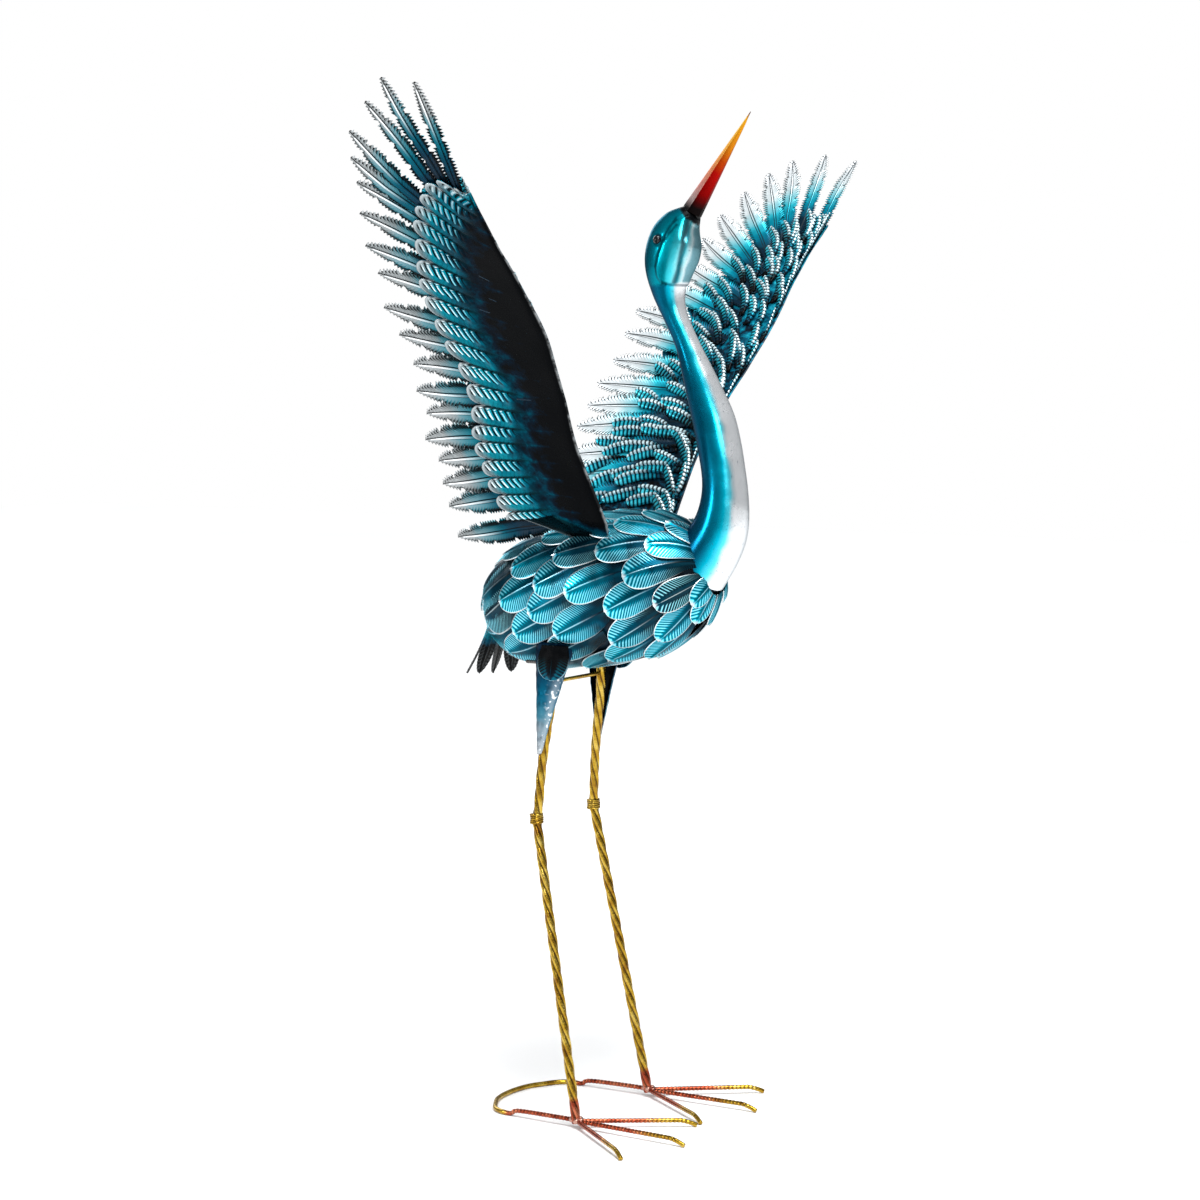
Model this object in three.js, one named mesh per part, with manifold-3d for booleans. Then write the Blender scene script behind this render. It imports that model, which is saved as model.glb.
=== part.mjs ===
// A standing garden crane with raised wings, made of cut, stamped and rolled sheet steel on bar legs.
// Millimetres. The bird looks along -Y, its left side is +X, and +Z is up.
import * as THREE from 'three';
import { mergeVertices } from 'three/addons/utils/BufferGeometryUtils.js';
import Module from 'manifold-3d';

const wasm = await Module();
wasm.setup();

// Driving dimensions
const sheet = 1.2;
const gap = 0.3;

const body = {
  middleY: 11, middleZ: 570, halfLength: 134, halfWidth: 75, backHeight: 67, bellyDepth: 81,
  noseRise: 23, sag: 5, lean: 0.03, frontFullness: 0.07, frontPower: [2, 2.4], rearPower: [3.5, 3.2],
};
const bodyFeather = { around: 14, firstTip: -0.65, rowPitch: 0.4, reach: 0.52, stagger: 0.18 };
const featherEnd = { shoulder: 0.3, round: 0.02, notch: 0.1, lastTip: 0.94, firstRoot: -0.95 };
const featherLift = { root: 1.9, tip: 7.4 };
const neckClearance = 2;
const bellySeam = 0.01;
const neckStations = [
  { y: -101, z: 588, deep: 34, wide: 31 },
  { y: -118.5, z: 612, deep: 32, wide: 30 },
  { y: -128.5, z: 631, deep: 29.6, wide: 28 },
  { y: -133, z: 651, deep: 26.4, wide: 25.5 },
  { y: -134, z: 672, deep: 23.8, wide: 23.5 },
  { y: -132, z: 692, deep: 22.7, wide: 22.7 },
  { y: -127.5, z: 716, deep: 22.7, wide: 22.7 },
  { y: -121, z: 742, deep: 22, wide: 22 },
  { y: -111, z: 768, deep: 19.3, wide: 19.3 },
  { y: -100, z: 795, deep: 15.8, wide: 15.8 },
  { y: -88.5, z: 822, deep: 12.4, wide: 12.4 },
  { y: -74, z: 852, deep: 12.9, wide: 12.5 },
  { y: -67, z: 876, deep: 18.4, wide: 16 },
  { y: -66.5, z: 897.5, deep: 26, wide: 19.5 },
  { y: -70, z: 914.5, deep: 29.4, wide: 20.5 },
  { y: -75.5, z: 931, deep: 27.8, wide: 20 },
  { y: -82, z: 943, deep: 21.5, wide: 17 },
  { y: -89, z: 951, deep: 14, wide: 13 },
  { y: -94, z: 956, deep: 9.6, wide: 9.4 },
];
const cheek = { y: -85, z: 914, deep: 20, high: 33, wide: 21.6 };
const eye = { x: 18.6, y: -64, z: 928, radius: 4.8 };
const bill = {
  baseY: -94.4, baseZ: 956.6, tipY: -162.4, tipZ: 1054.9, deep: 11.5, wide: 9.5, jawEnd: 0.92,
};

const wing = { rootX: 73, rootZ: 637.7, spanX: 0.671, spanZ: 0.741, bow: 15, bowLength: 440, twist: 6 };
const leadingEdge = [[-2, -35], [90, -36], [160, -47], [205, -55], [260, -62], [365, -62], [456, -68]];
const plateTips = [
  [-2, 89], [19, 92], [42, 94], [65, 92], [90, 91], [114, 85], [138, 75],
  [168, 67], [196, 63], [227, 65], [255, 64], [287, 60], [314, 54],
  [337, 45], [366, 31], [394, 18], [415, 4], [430, -10], [448, -24], [450, -45],
];
const plateScallop = { notch: 15, half: 7, round: 3 };
const wingTab = { inner: -30, front: -26, back: 22 };
const longTips = {
  right: [
    [-37, 171], [8, 161], [40, 155], [69, 149], [98, 153], [133, 136], [165, 133],
    [199, 122], [240, 119], [277, 119], [325, 100], [363, 94], [405, 78],
    [446, 58], [476, 49], [507, 37], [542, 1], [567, -30], [561, -65],
  ],
  left: [
    [-37, 171], [3, 158], [37, 150], [71, 134], [110, 130], [139, 127], [170, 126],
    [206, 120], [247, 121], [283, 121], [326, 109], [366, 97], [406, 86],
    [448, 80], [485, 62], [517, 41], [539, 17], [550, -22], [539, -66],
  ],
};
const longFeather = { length: 140, notch: 80, innerHalf: 12.5, outerHalf: 9.5, round: 24, lift: 2.3 };
const fan = { innerAngle: -12, sweep: 107, ease: 1.8 };
const covert = { count: 10, reach: [0.42, 0.67, 0.92], rootShare: 0.36, half: 8, notch: 24, sink: 0.55 };
const covertLift = { root: 6.5, curl: 9 };
const covertFan = { innerAngle: -8, sweep: 72, reach: 400 };

const tail = { rootY: 145, rootZ: 532, rootSpread: 0.45, tipY: 163, halfWidth: 7.2 };
const tailFeathers = [
  { x: -40, z: 469, turn: -32 },
  { x: -16, z: 466, turn: 26 },
  { x: 10, z: 464, turn: -8 },
  { x: 47, z: 462, turn: 36 },
];

const legHalfDiagonal = 5.5;
const twistLead = 88;
const legPath = [[45.4, 41.5, 505], [45.6, 44.3, 467.5], [49, 46.6, 447], [51, 51.7, 413],
  [53.3, 56.3, 376], [55.3, 59.3, 334], [56.8, 60.8, 321.5]];
const ankle = { x: 73.6, y: 0.3, z: 5 };
const kneeWrap = { turns: 4, wire: 3.2, radius: 6.2, inside: 4 };
const brace = { radius: 2.2, y: 44.4, z: 467.5 };
const thigh = {
  topZ: 510, tipZ: 391, backY: 65, tipBackY: 58.5,
  topWidth: 51, topX: 48, tipX: 58.5, bulge: 16, tipBulge: 3.5,
};
const thighPocketX = 39;
const thighLeaf = { rootX: 69, rootY: 31, rootZ: 508, tipX: 71, tipY: 36, tipZ: 471, halfWidth: 18 };
const bodyBolt = { radius: 2, x: 46, startY: 66, endY: 80, z: 486.6 };

const rod = 2.65;
const groundWear = 0.4;
const toeHeight = 8;
const toeBend = 18;
const toeTips = { inner: [4.2, -105.5], middle: [77, -132.4], outer: [151, -101.5] };
const heelKink = [[71.9, 74.5], [71.2, 85]];
const loopPoints = [[70.5, 97], [64, 109], [50, 119], [28, 130], [0, 133.5]];

// Each paint or metal finish, as one material
const paint = {
  bodyDark: new THREE.MeshStandardMaterial({ color: 0x0b2c38, roughness: 0.45, metalness: 0.5 }),
  neck: new THREE.MeshStandardMaterial({ color: 0x1f9fbf, roughness: 0.28, metalness: 0.75 }),
  feather: new THREE.MeshStandardMaterial({ color: 0x2b9db4, roughness: 0.38, metalness: 0.6 }),
  wingDark: new THREE.MeshStandardMaterial({ color: 0x0a1e28, roughness: 0.3, metalness: 0.6 }),
  wingFeather: new THREE.MeshStandardMaterial({ color: 0x5f98a6, roughness: 0.42, metalness: 0.65 }),
  tailBlack: new THREE.MeshStandardMaterial({ color: 0x10171b, roughness: 0.4, metalness: 0.4 }),
  thigh: new THREE.MeshStandardMaterial({ color: 0x3b86a5, roughness: 0.35, metalness: 0.7 }),
  brass: new THREE.MeshStandardMaterial({ color: 0xb8932b, roughness: 0.35, metalness: 0.85 }),
  copper: new THREE.MeshStandardMaterial({ color: 0xa04a32, roughness: 0.4, metalness: 0.8 }),
  bill: new THREE.MeshStandardMaterial({ color: 0xa03a10, roughness: 0.3, metalness: 0.4 }),
  eye: new THREE.MeshStandardMaterial({ color: 0x060606, roughness: 0.08, metalness: 0 }),
  bolt: new THREE.MeshStandardMaterial({ color: 0x2a2a2c, roughness: 0.5, metalness: 0.8 }),
};

// Solids

function signedVolume(geometry) {
  const position = geometry.attributes.position;
  const index = geometry.index.array;
  const corner = [new THREE.Vector3(), new THREE.Vector3(), new THREE.Vector3()];
  let total = 0;
  for (let i = 0; i < index.length; i += 3) {
    corner.forEach((point, k) => point.fromBufferAttribute(position, index[i + k]));
    total += corner[0].dot(corner[1].cross(corner[2])) / 6;
  }
  return total;
}

function facingOut(geometry) {
  if (signedVolume(geometry) < 0) {
    const index = geometry.index.array;
    for (let i = 0; i < index.length; i += 3) {
      [index[i + 1], index[i + 2]] = [index[i + 2], index[i + 1]];
    }
  }
  return geometry;
}

function closed(blank) {
  const geometry = blank.clone();
  geometry.deleteAttribute('normal');
  geometry.deleteAttribute('uv');
  return mergeVertices(geometry);
}

// Moves every vertex of a closed blank to the place that a function gives for it
function reshape(blank, place) {
  const geometry = closed(blank);
  const position = geometry.attributes.position;
  for (let i = 0; i < position.count; i += 1) {
    const moved = place(position.getX(i), position.getY(i), position.getZ(i));
    position.setXYZ(i, moved.x, moved.y, moved.z);
  }
  return facingOut(geometry);
}

function mirrored(geometry) {
  return reshape(geometry, (x, y, z) => new THREE.Vector3(-x, y, z));
}

function toManifold(geometry) {
  const vertProperties = Float32Array.from(geometry.attributes.position.array);
  const triVerts = Uint32Array.from(geometry.index.array);
  return new wasm.Manifold(new wasm.Mesh({ numProp: 3, vertProperties, triVerts }));
}

function toGeometry(manifold) {
  const mesh = manifold.getMesh();
  const geometry = new THREE.BufferGeometry();
  geometry.setAttribute('position', new THREE.BufferAttribute(mesh.vertProperties, 3));
  geometry.setIndex(new THREE.BufferAttribute(mesh.triVerts, 1));
  return geometry;
}

function fuse(pieces) {
  return toGeometry(pieces.map(toManifold).reduce((whole, piece) => whole.add(piece)));
}

function carve(piece, cutters) {
  const rest = cutters.map(toManifold).reduce((left, cutter) => left.subtract(cutter), toManifold(piece));
  return toGeometry(rest);
}

// A thin leaf. Its outline is a list of [place along the rib, half width], and the
// function gives the point for a place along, a distance across, a depth in sheets and how near
// the edge it is. Two strips across give it a rib, and one leaves it flat.
function leaf(outline, strips, place) {
  const steps = outline.length - 1;
  const blank = new THREE.BoxGeometry(2, 1, steps, strips, 1, steps);
  return reshape(blank, (x, y, z) => {
    const [along, halfWidth] = outline[Math.round(z + steps / 2)];
    return place(along, x * halfWidth, y, Math.abs(x));
  });
}

// A thin band with one edge hidden and one shown. Each column holds a point of both, and the
// function gives the place for a point between them, a depth in sheets, a share and the column.
function band(columns, rows, place) {
  const steps = columns.length - 1;
  const blank = new THREE.BoxGeometry(steps, 1, rows, steps, 1, rows);
  return reshape(blank, (x, y, z) => {
    const column = columns[Math.round(x + steps / 2)];
    const along = z / rows + 0.5;
    return place(column.hidden.clone().lerp(column.shown, along), y, along, column);
  });
}

// A bar of even section swept along a path
function bar(path, radius, sides, steps) {
  const section = new THREE.Shape();
  for (let i = 0; i < sides; i += 1) {
    const turn = ((i + 0.5) / sides) * 2 * Math.PI;
    const corner = [radius * Math.cos(turn), radius * Math.sin(turn)];
    if (i === 0) section.moveTo(...corner);
    else section.lineTo(...corner);
  }
  const swept = new THREE.ExtrudeGeometry(section, { steps, bevelEnabled: false, extrudePath: path });
  return facingOut(closed(swept));
}

// Body shell, an egg whose axis droops towards the rump.
// t runs from -1 at the breast to 1 at the rump, and turn goes round from the back line.

function bodySkin(t, turn) {
  const up = Math.cos(turn);
  const belly = (1 - up) / 2;
  const [backPower, bellyPower] = t < 0 ? body.frontPower : body.rearPower;
  const power = THREE.MathUtils.lerp(backPower, bellyPower, belly);
  const swell = Math.sqrt(Math.max(0, 1 - Math.abs(t) ** power)) * (1 - body.frontFullness * t);
  const rise = up * swell * (up > 0 ? body.backHeight : body.bellyDepth);
  return new THREE.Vector3(
    Math.sin(turn) * swell * body.halfWidth,
    body.middleY + body.halfLength * t + body.lean * rise,
    body.middleZ - body.noseRise * t - body.sag * t * t + rise,
  );
}

function onBody(t, turn, lift) {
  const step = 0.01;
  const here = bodySkin(t, turn);
  const back = bodySkin(t + step, turn).sub(here);
  const round = bodySkin(t, turn + step).sub(here);
  return here.addScaledVector(round.cross(back).normalize(), lift);
}

function bodyShell(extra) {
  return reshape(new THREE.SphereGeometry(1, 16, 12), (x, y, z) => {
    const t = THREE.MathUtils.clamp(y, -1, 1);
    const turn = Math.atan2(x, z);
    const skin = bodySkin(t, turn);
    if (extra === 0) return skin;
    const axis = new THREE.Vector3(0, body.middleY + body.halfLength * t,
      body.middleZ - body.noseRise * t - body.sag * t * t);
    const outwards = skin.clone().sub(axis).setY(0);
    if (outwards.length() > 0) outwards.setLength(extra);
    return skin.add(outwards).add(new THREE.Vector3(0, extra * t, 0));
  });
}

// One row of overlapping feathers round the body, joined side by side at their roots, with every
// second tip further back. The first row leaves out the feathers under the neck and goes
// round below it, and the others stop at a seam under the belly. Places between root and tip
// are spaced by angle, which packs them closer where the shell curves more.
function bodyFeatherRow(row) {
  const pitch = (2 * Math.PI) / bodyFeather.around;
  const evenTip = bodyFeather.firstTip + row * bodyFeather.rowPitch;
  const root = evenTip - bodyFeather.reach;
  const notch = evenTip - featherEnd.notch;
  const firstColumn = row === 0 ? neckClearance : -bodyFeather.around / 2;
  const lastColumn = row === 0 ? bodyFeather.around - 1 - neckClearance : bodyFeather.around / 2 - 1;
  const seam = row === 0 ? 0 : bellySeam;
  const angleAt = (t) => Math.acos(-t);
  const columns = [];
  const addColumn = (turn, t) => columns.push({
    hidden: new THREE.Vector2(turn, angleAt(Math.max(root, featherEnd.firstRoot))),
    shown: new THREE.Vector2(turn, angleAt(t)),
  });
  addColumn(firstColumn * pitch + seam, notch);
  for (let column = firstColumn; column <= lastColumn; column += 1) {
    const fromBack = Math.abs(column + 0.5);
    const place = Math.floor(Math.min(fromBack, bodyFeather.around - fromBack));
    const stagger = (place % 2) * bodyFeather.stagger;
    const tip = Math.min(evenTip + stagger - featherEnd.round, featherEnd.lastTip);
    const middle = (column + 0.5) * pitch;
    addColumn(middle - featherEnd.shoulder * pitch, tip);
    addColumn(middle + featherEnd.shoulder * pitch, tip);
    addColumn(middle + 0.5 * pitch - (column === lastColumn ? seam : 0), notch);
  }
  return band(columns, row === 2 ? 2 : 3, (place, depth) => {
    const t = -Math.cos(place.y);
    const lift = THREE.MathUtils.lerp(featherLift.root, featherLift.tip, (t - root) / bodyFeather.reach);
    return onBody(t, place.x, lift + depth * sheet);
  });
}

// Neck and head, one rolled skin swept along an S curve

function neckAndHead(extra) {
  const line = new THREE.CatmullRomCurve3(neckStations.map((s) => new THREE.Vector3(0, s.y, s.z)));
  const size = new THREE.CatmullRomCurve3(neckStations.map((s) => new THREE.Vector3(s.wide, s.deep, 0)));
  const rings = neckStations.length - 1;
  return reshape(new THREE.CylinderGeometry(1, 1, 2, 10, rings), (x, y, z) => {
    const u = THREE.MathUtils.clamp((y + 1) / 2, 0, 1);
    const middle = line.getPoint(u);
    const along = line.getTangent(u);
    const front = new THREE.Vector3(0, -along.z, along.y);
    const half = size.getPoint(u);
    const end = (u === 0 ? -extra : 0) + (u === 1 ? extra : 0);
    return middle.addScaledVector(front, z * (half.y + extra)).addScaledVector(along, end)
      .add(new THREE.Vector3(x * (half.x + extra), 0, 0));
  });
}

function cheeks() {
  return reshape(new THREE.SphereGeometry(1, 8, 6), (x, y, z) => (
    new THREE.Vector3(x * cheek.wide, cheek.y + z * cheek.deep, cheek.z + y * cheek.high)));
}

function eyeball(radius) {
  return reshape(new THREE.SphereGeometry(radius, 8, 5), (x, y, z) => (
    new THREE.Vector3(eye.x + x, eye.y + y, eye.z + z)));
}

// Bill, a folded six-sided cone whose upper edge runs past the lower one

function folded() {
  const base = new THREE.Vector3(0, bill.baseY, bill.baseZ);
  const tip = new THREE.Vector3(0, bill.tipY, bill.tipZ);
  const along = tip.clone().sub(base).normalize();
  const upper = new THREE.Vector3(0, along.z, -along.y);
  return reshape(new THREE.CylinderGeometry(1, 1, 2, 6, 6), (x, y, z) => {
    const u = (y + 1) / 2;
    const pastJaw = THREE.MathUtils.clamp((u - bill.jawEnd) / (1 - bill.jawEnd), 0, 1);
    const taper = 1 - 0.94 * u;
    const lift = x > 0 ? 0 : pastJaw * bill.deep * taper * 0.7;
    return base.clone().lerp(tip, u)
      .addScaledVector(upper, x * bill.deep * taper + lift)
      .add(new THREE.Vector3(z * bill.wide * taper, 0, 0));
  });
}

// Wings. A place on a wing is s along the span, y along the chord and lift off its upper face.

function onWing(s, y, lift) {
  const bent = Math.sin(Math.PI * THREE.MathUtils.clamp(s / wing.bowLength, 0, 1));
  const inwards = lift + wing.bow * bent + wing.twist * ((y + 50) / 180);
  return new THREE.Vector3(
    wing.rootX + wing.spanX * s - wing.spanZ * inwards,
    y,
    wing.rootZ + wing.spanZ * s + wing.spanX * inwards,
  );
}

function flatCurve(points) {
  return new THREE.SplineCurve(points.map(([s, y]) => new THREE.Vector2(s, y)));
}

const leading = flatCurve(leadingEdge);
const trailing = flatCurve(plateTips);

// Direction of a feather, turning from the chord towards the span as it nears the wing tip
function fanDirection(share) {
  const angle = THREE.MathUtils.degToRad(fan.innerAngle + fan.sweep * share ** fan.ease);
  return new THREE.Vector2(Math.sin(angle), Math.cos(angle));
}

// Columns for a row of feathers side by side. Each has the same points round its tip, listed as
// [distance back from the tip, distance across], and a notch between it and the next.
function scallops(count, tipAt, directionAt, pointsAt, notchDepth, hiddenAt) {
  const columns = [];
  for (let i = 0; i < count; i += 1) {
    const share = i / (count - 1);
    const direction = directionAt(share);
    const across = new THREE.Vector2(direction.y, -direction.x);
    pointsAt(share).forEach(([back, side]) => {
      const shown = tipAt(share).addScaledVector(direction, -back).addScaledVector(across, side);
      columns.push({ hidden: hiddenAt(share), shown, isNotch: false });
    });
    if (i < count - 1) {
      const between = (i + 0.5) / (count - 1);
      const shown = tipAt(between).addScaledVector(directionAt(between), -notchDepth);
      columns.push({ hidden: hiddenAt(between), shown, isNotch: true });
    }
  }
  return columns;
}

function wingPlate(extra) {
  const { notch, half, round } = plateScallop;
  const tipAt = (share) => trailing.getPoint(share);
  const frontAt = (share) => leading.getPointAt(share);
  const pointsAt = () => [[round, -half], [round, half]];
  const columns = scallops(plateTips.length, tipAt, fanDirection, pointsAt, notch, frontAt);
  columns.unshift({
    hidden: new THREE.Vector2(wingTab.inner, wingTab.front),
    shown: new THREE.Vector2(wingTab.inner, wingTab.back),
  });
  return band(columns, 1, (place, depth) => onWing(place.x, place.y, depth * (sheet + 2 * extra)));
}

function longFeathers(tips) {
  const { length, notch, innerHalf, outerHalf, round, lift } = longFeather;
  const tipLine = flatCurve(tips);
  const tipAt = (share) => tipLine.getPoint(share);
  const rootAt = (share) => tipAt(share).addScaledVector(fanDirection(share), -length);
  const pointsAt = (share) => {
    const half = THREE.MathUtils.lerp(innerHalf, outerHalf, share);
    return [[round, -half], [0, 0], [round, half]];
  };
  const columns = scallops(tips.length, tipAt, fanDirection, pointsAt, notch, rootAt);
  return band(columns, 1, (place, depth) => onWing(place.x, place.y, lift + depth * sheet));
}

function covertDirection(place) {
  const bend = Math.sin((Math.PI / 2) * THREE.MathUtils.clamp(place.x / covertFan.reach, 0, 1));
  const angle = THREE.MathUtils.degToRad(covertFan.innerAngle + covertFan.sweep * bend);
  return new THREE.Vector2(Math.sin(angle), Math.cos(angle));
}

// One row of short feathers on the upper face, whose ends curl up off the wing
function covertRow(row) {
  const acrossChord = (share, reach) => {
    const along = 0.03 + 0.94 * share;
    return leading.getPointAt(along).lerp(trailing.getPointAt(along), reach);
  };
  const tipAt = (share) => acrossChord(share, covert.reach[row]);
  const rootAt = (share) => acrossChord(share, covert.reach[row] - covert.rootShare);
  const directionAt = (share) => covertDirection(tipAt(share));
  const pointsAt = () => [[0, -covert.half], [0, covert.half]];
  const columns = scallops(covert.count, tipAt, directionAt, pointsAt, covert.notch, rootAt);
  return band(columns, 1, (place, depth, along, column) => {
    const curl = covertLift.curl * along * (column.isNotch ? 1 - covert.sink : 1);
    return onWing(place.x, place.y, covertLift.root + curl + depth * sheet);
  });
}

// Tail, narrow feathers that hang behind the rump, each turned its own way

function tailFeather({ x, z, turn }) {
  const root = new THREE.Vector3(tail.rootSpread * x, tail.rootY, tail.rootZ);
  const tip = new THREE.Vector3(x, tail.tipY, z);
  const along = tip.clone().sub(root);
  const angle = THREE.MathUtils.degToRad(turn);
  const across = new THREE.Vector3(Math.cos(angle), -Math.sin(angle), 0);
  const out = along.clone().cross(across).normalize();
  const shares = [[0, 0.7], [0.55, 1], [0.85, 0.7], [1, 0.2]];
  const outline = shares.map(([place, share]) => [place, share * tail.halfWidth]);
  return leaf(outline, 1, (place, side, depth) => (
    root.clone().lerp(tip, place).addScaledVector(across, side).addScaledVector(out, depth * sheet)));
}

// Legs, knee wraps, brace and thighs

function legLine(side) {
  const points = legPath.map(([x, y, z]) => new THREE.Vector3(side * x, y, z));
  const upper = new THREE.CatmullRomCurve3(points);
  const foot = new THREE.Vector3(side * ankle.x, ankle.y, ankle.z);
  const lower = new THREE.LineCurve3(points[points.length - 1], foot);
  const whole = new THREE.CurvePath();
  whole.add(upper);
  whole.add(lower);
  return whole;
}

// A square bar twisted about its length, always the same way round
function twistedBar(side, extra) {
  const line = legLine(side);
  const length = line.getLength();
  const steps = 46;
  return reshape(new THREE.CylinderGeometry(1, 1, 2, 4, steps), (x, y, z) => {
    const u = (1 - y) / 2;
    const middle = line.getPointAt(u);
    const down = line.getTangentAt(u);
    const right = new THREE.Vector3(1, 0, 0).addScaledVector(down, -down.x).normalize();
    const front = down.clone().cross(right);
    const turn = Math.atan2(z, x) - (2 * Math.PI * u * length) / twistLead;
    const radius = Math.hypot(x, z) * (legHalfDiagonal + extra);
    return middle.addScaledVector(right, radius * Math.cos(turn))
      .addScaledVector(front, radius * Math.sin(turn));
  });
}

function wrapAtKnee() {
  const height = kneeWrap.turns * kneeWrap.wire;
  const outline = [new THREE.Vector2(kneeWrap.inside, -height / 2)];
  for (let i = 0; i < kneeWrap.turns; i += 1) {
    const low = -height / 2 + i * kneeWrap.wire;
    outline.push(new THREE.Vector2(kneeWrap.radius + kneeWrap.wire * 0.15, low));
    outline.push(new THREE.Vector2(kneeWrap.radius + kneeWrap.wire * 0.42, low + kneeWrap.wire / 2));
  }
  outline.push(new THREE.Vector2(kneeWrap.radius + kneeWrap.wire * 0.15, height / 2));
  outline.push(new THREE.Vector2(kneeWrap.inside, height / 2));
  outline.push(outline[0].clone());
  const knee = legPath[legPath.length - 1];
  const ring = facingOut(closed(new THREE.LatheGeometry(outline, 8)));
  return reshape(ring, (x, y, z) => new THREE.Vector3(knee[0] + x, knee[1] - z, knee[2] + y));
}

function legBrace() {
  const reach = legPath[1][0];
  const ends = [-reach, reach].map((x) => new THREE.Vector3(x, brace.y, brace.z));
  return bar(new THREE.LineCurve3(...ends), brace.radius, 6, 1);
}

// The thigh is half a cone of sheet, open on the side that faces the leg. A place on it is u down
// its length and a turn round from the back edge to the front one.
function onThigh(u, turn, inset) {
  const half = (thigh.topWidth / 2) * (1 - 0.9 * u ** 0.85);
  const bulge = THREE.MathUtils.lerp(thigh.bulge, thigh.tipBulge, u);
  return new THREE.Vector3(
    THREE.MathUtils.lerp(thigh.topX, thigh.tipX, u) + (bulge - inset) * Math.cos(turn),
    THREE.MathUtils.lerp(thigh.backY, thigh.tipBackY, u) - half + (half - inset) * Math.sin(turn),
    THREE.MathUtils.lerp(thigh.topZ, thigh.tipZ, u),
  );
}

function thighBlank(place) {
  const around = 5;
  const down = 3;
  const blank = new THREE.BoxGeometry(around, 1, down, around, 1, down);
  return reshape(blank, (x, y, z) => place(z / down + 0.5, (x / around) * Math.PI, y));
}

function thighShell() {
  return thighBlank((u, turn, depth) => onThigh(u, turn, depth * sheet));
}

// The room that the thigh and the top of the leg take up under the body feathers
function thighPocket() {
  return thighBlank((u, turn, depth) => {
    const skin = onThigh(u, turn, -gap - sheet);
    return depth < 0 ? skin.setZ(skin.z + sheet) : skin.setX(thighPocketX).setZ(skin.z + sheet);
  });
}

function thighFeather() {
  const { rootX, rootY, rootZ, tipX, tipY, tipZ, halfWidth } = thighLeaf;
  const root = new THREE.Vector3(rootX, rootY, rootZ);
  const tip = new THREE.Vector3(tipX, tipY, tipZ);
  const outline = [[0, halfWidth * 0.7], [0.5, halfWidth], [0.82, halfWidth * 0.85], [1, halfWidth * 0.35]];
  return leaf(outline, 2, (along, across, depth, edge) => {
    const out = depth * sheet - 4 * edge * edge;
    return root.clone().lerp(tip, along).add(new THREE.Vector3(out, across, 0));
  });
}

function boltStub() {
  const ends = [bodyBolt.startY, bodyBolt.endY].map((y) => new THREE.Vector3(bodyBolt.x, y, bodyBolt.z));
  return bar(new THREE.LineCurve3(...ends), bodyBolt.radius, 6, 1);
}

// Feet: three toes to each leg, and one rod that runs back from both and loops round behind

// Sets a rod on the ground and files its lowest edges flat
function standing(geometry) {
  geometry.computeBoundingBox();
  const lowest = geometry.boundingBox.min.z;
  return reshape(geometry, (x, y, z) => new THREE.Vector3(x, y, z - lowest < groundWear ? 0 : z - lowest));
}

function toe(tip, extra) {
  const heel = new THREE.Vector3(ankle.x, ankle.y, toeHeight);
  const end = new THREE.Vector3(tip[0], tip[1], rod);
  const reach = end.clone().sub(heel).setZ(0);
  const knuckle = heel.clone().addScaledVector(reach, 1 - toeBend / reach.length());
  const line = new THREE.CurvePath();
  line.add(new THREE.LineCurve3(heel, knuckle));
  const bend = knuckle.clone().lerp(end, 0.4).setZ(toeHeight - 0.5);
  line.add(new THREE.QuadraticBezierCurve3(knuckle, bend, end));
  return standing(bar(line, rod + extra, 6, 7)).translate(0, 0, -extra);
}

function loopLine() {
  const side = (sign) => {
    const ends = [[ankle.x, ankle.y + 2], [ankle.x - 0.4, 30], ...heelKink, ...loopPoints.slice(0, -1)];
    const high = [toeHeight, toeHeight, toeHeight - 1.2];
    return ends.map(([x, y], i) => new THREE.Vector3(sign * x, y, i < high.length ? high[i] : rod));
  };
  const [backX, backY] = loopPoints[loopPoints.length - 1];
  const points = [...side(1), new THREE.Vector3(backX, backY, rod), ...side(-1).reverse()];
  return new THREE.CatmullRomCurve3(points, false, 'centripetal');
}

// Assembly

const crane = new THREE.Group();

function addPiece(name, geometry, material, cutters = []) {
  const shape = cutters.length > 0 ? carve(geometry, cutters) : geometry;
  shape.computeVertexNormals();
  const mesh = new THREE.Mesh(shape, material);
  mesh.name = name;
  crane.add(mesh);
}

function bothSides(geometry) {
  return [geometry, mirrored(geometry)];
}

function addPair(name, geometry, material, cutters = []) {
  const [left, right] = bothSides(geometry);
  addPiece(`${name}_left`, left, material, cutters);
  addPiece(`${name}_right`, right, material, cutters);
}

const shellWithGap = bodyShell(gap);
const neckWithGap = neckAndHead(gap);
const legsWithGap = [twistedBar(1, gap), twistedBar(-1, gap)];
const platesWithGap = bothSides(wingPlate(gap));

addPiece('body_shell', bodyShell(0), paint.bodyDark);
addPiece('neck_and_head', fuse([neckAndHead(0), cheeks()]), paint.neck,
  [shellWithGap, ...bothSides(eyeball(eye.radius + gap))]);
addPair('eye', eyeball(eye.radius), paint.eye);
addPiece('bill', folded(), paint.bill, [neckWithGap]);

// What each row of body feathers makes room for, from the breast to the rump
const pockets = bothSides(thighPocket());
const inTheWay = [
  [neckWithGap], [neckWithGap, ...platesWithGap], [...platesWithGap, ...pockets], [...platesWithGap, ...pockets], [],
];
inTheWay.forEach((cutters, row) => {
  addPiece(`body_feathers_${row + 1}`, bodyFeatherRow(row), paint.feather, cutters);
});

addPair('wing_plate', wingPlate(0), paint.wingDark, [shellWithGap]);
addPiece('long_feathers_left', longFeathers(longTips.left), paint.wingFeather);
addPiece('long_feathers_right', mirrored(longFeathers(longTips.right)), paint.wingFeather);
for (let row = 0; row < covert.reach.length; row += 1) {
  addPair(`covert_feathers_${row + 1}`, covertRow(row), paint.wingFeather);
}

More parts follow.
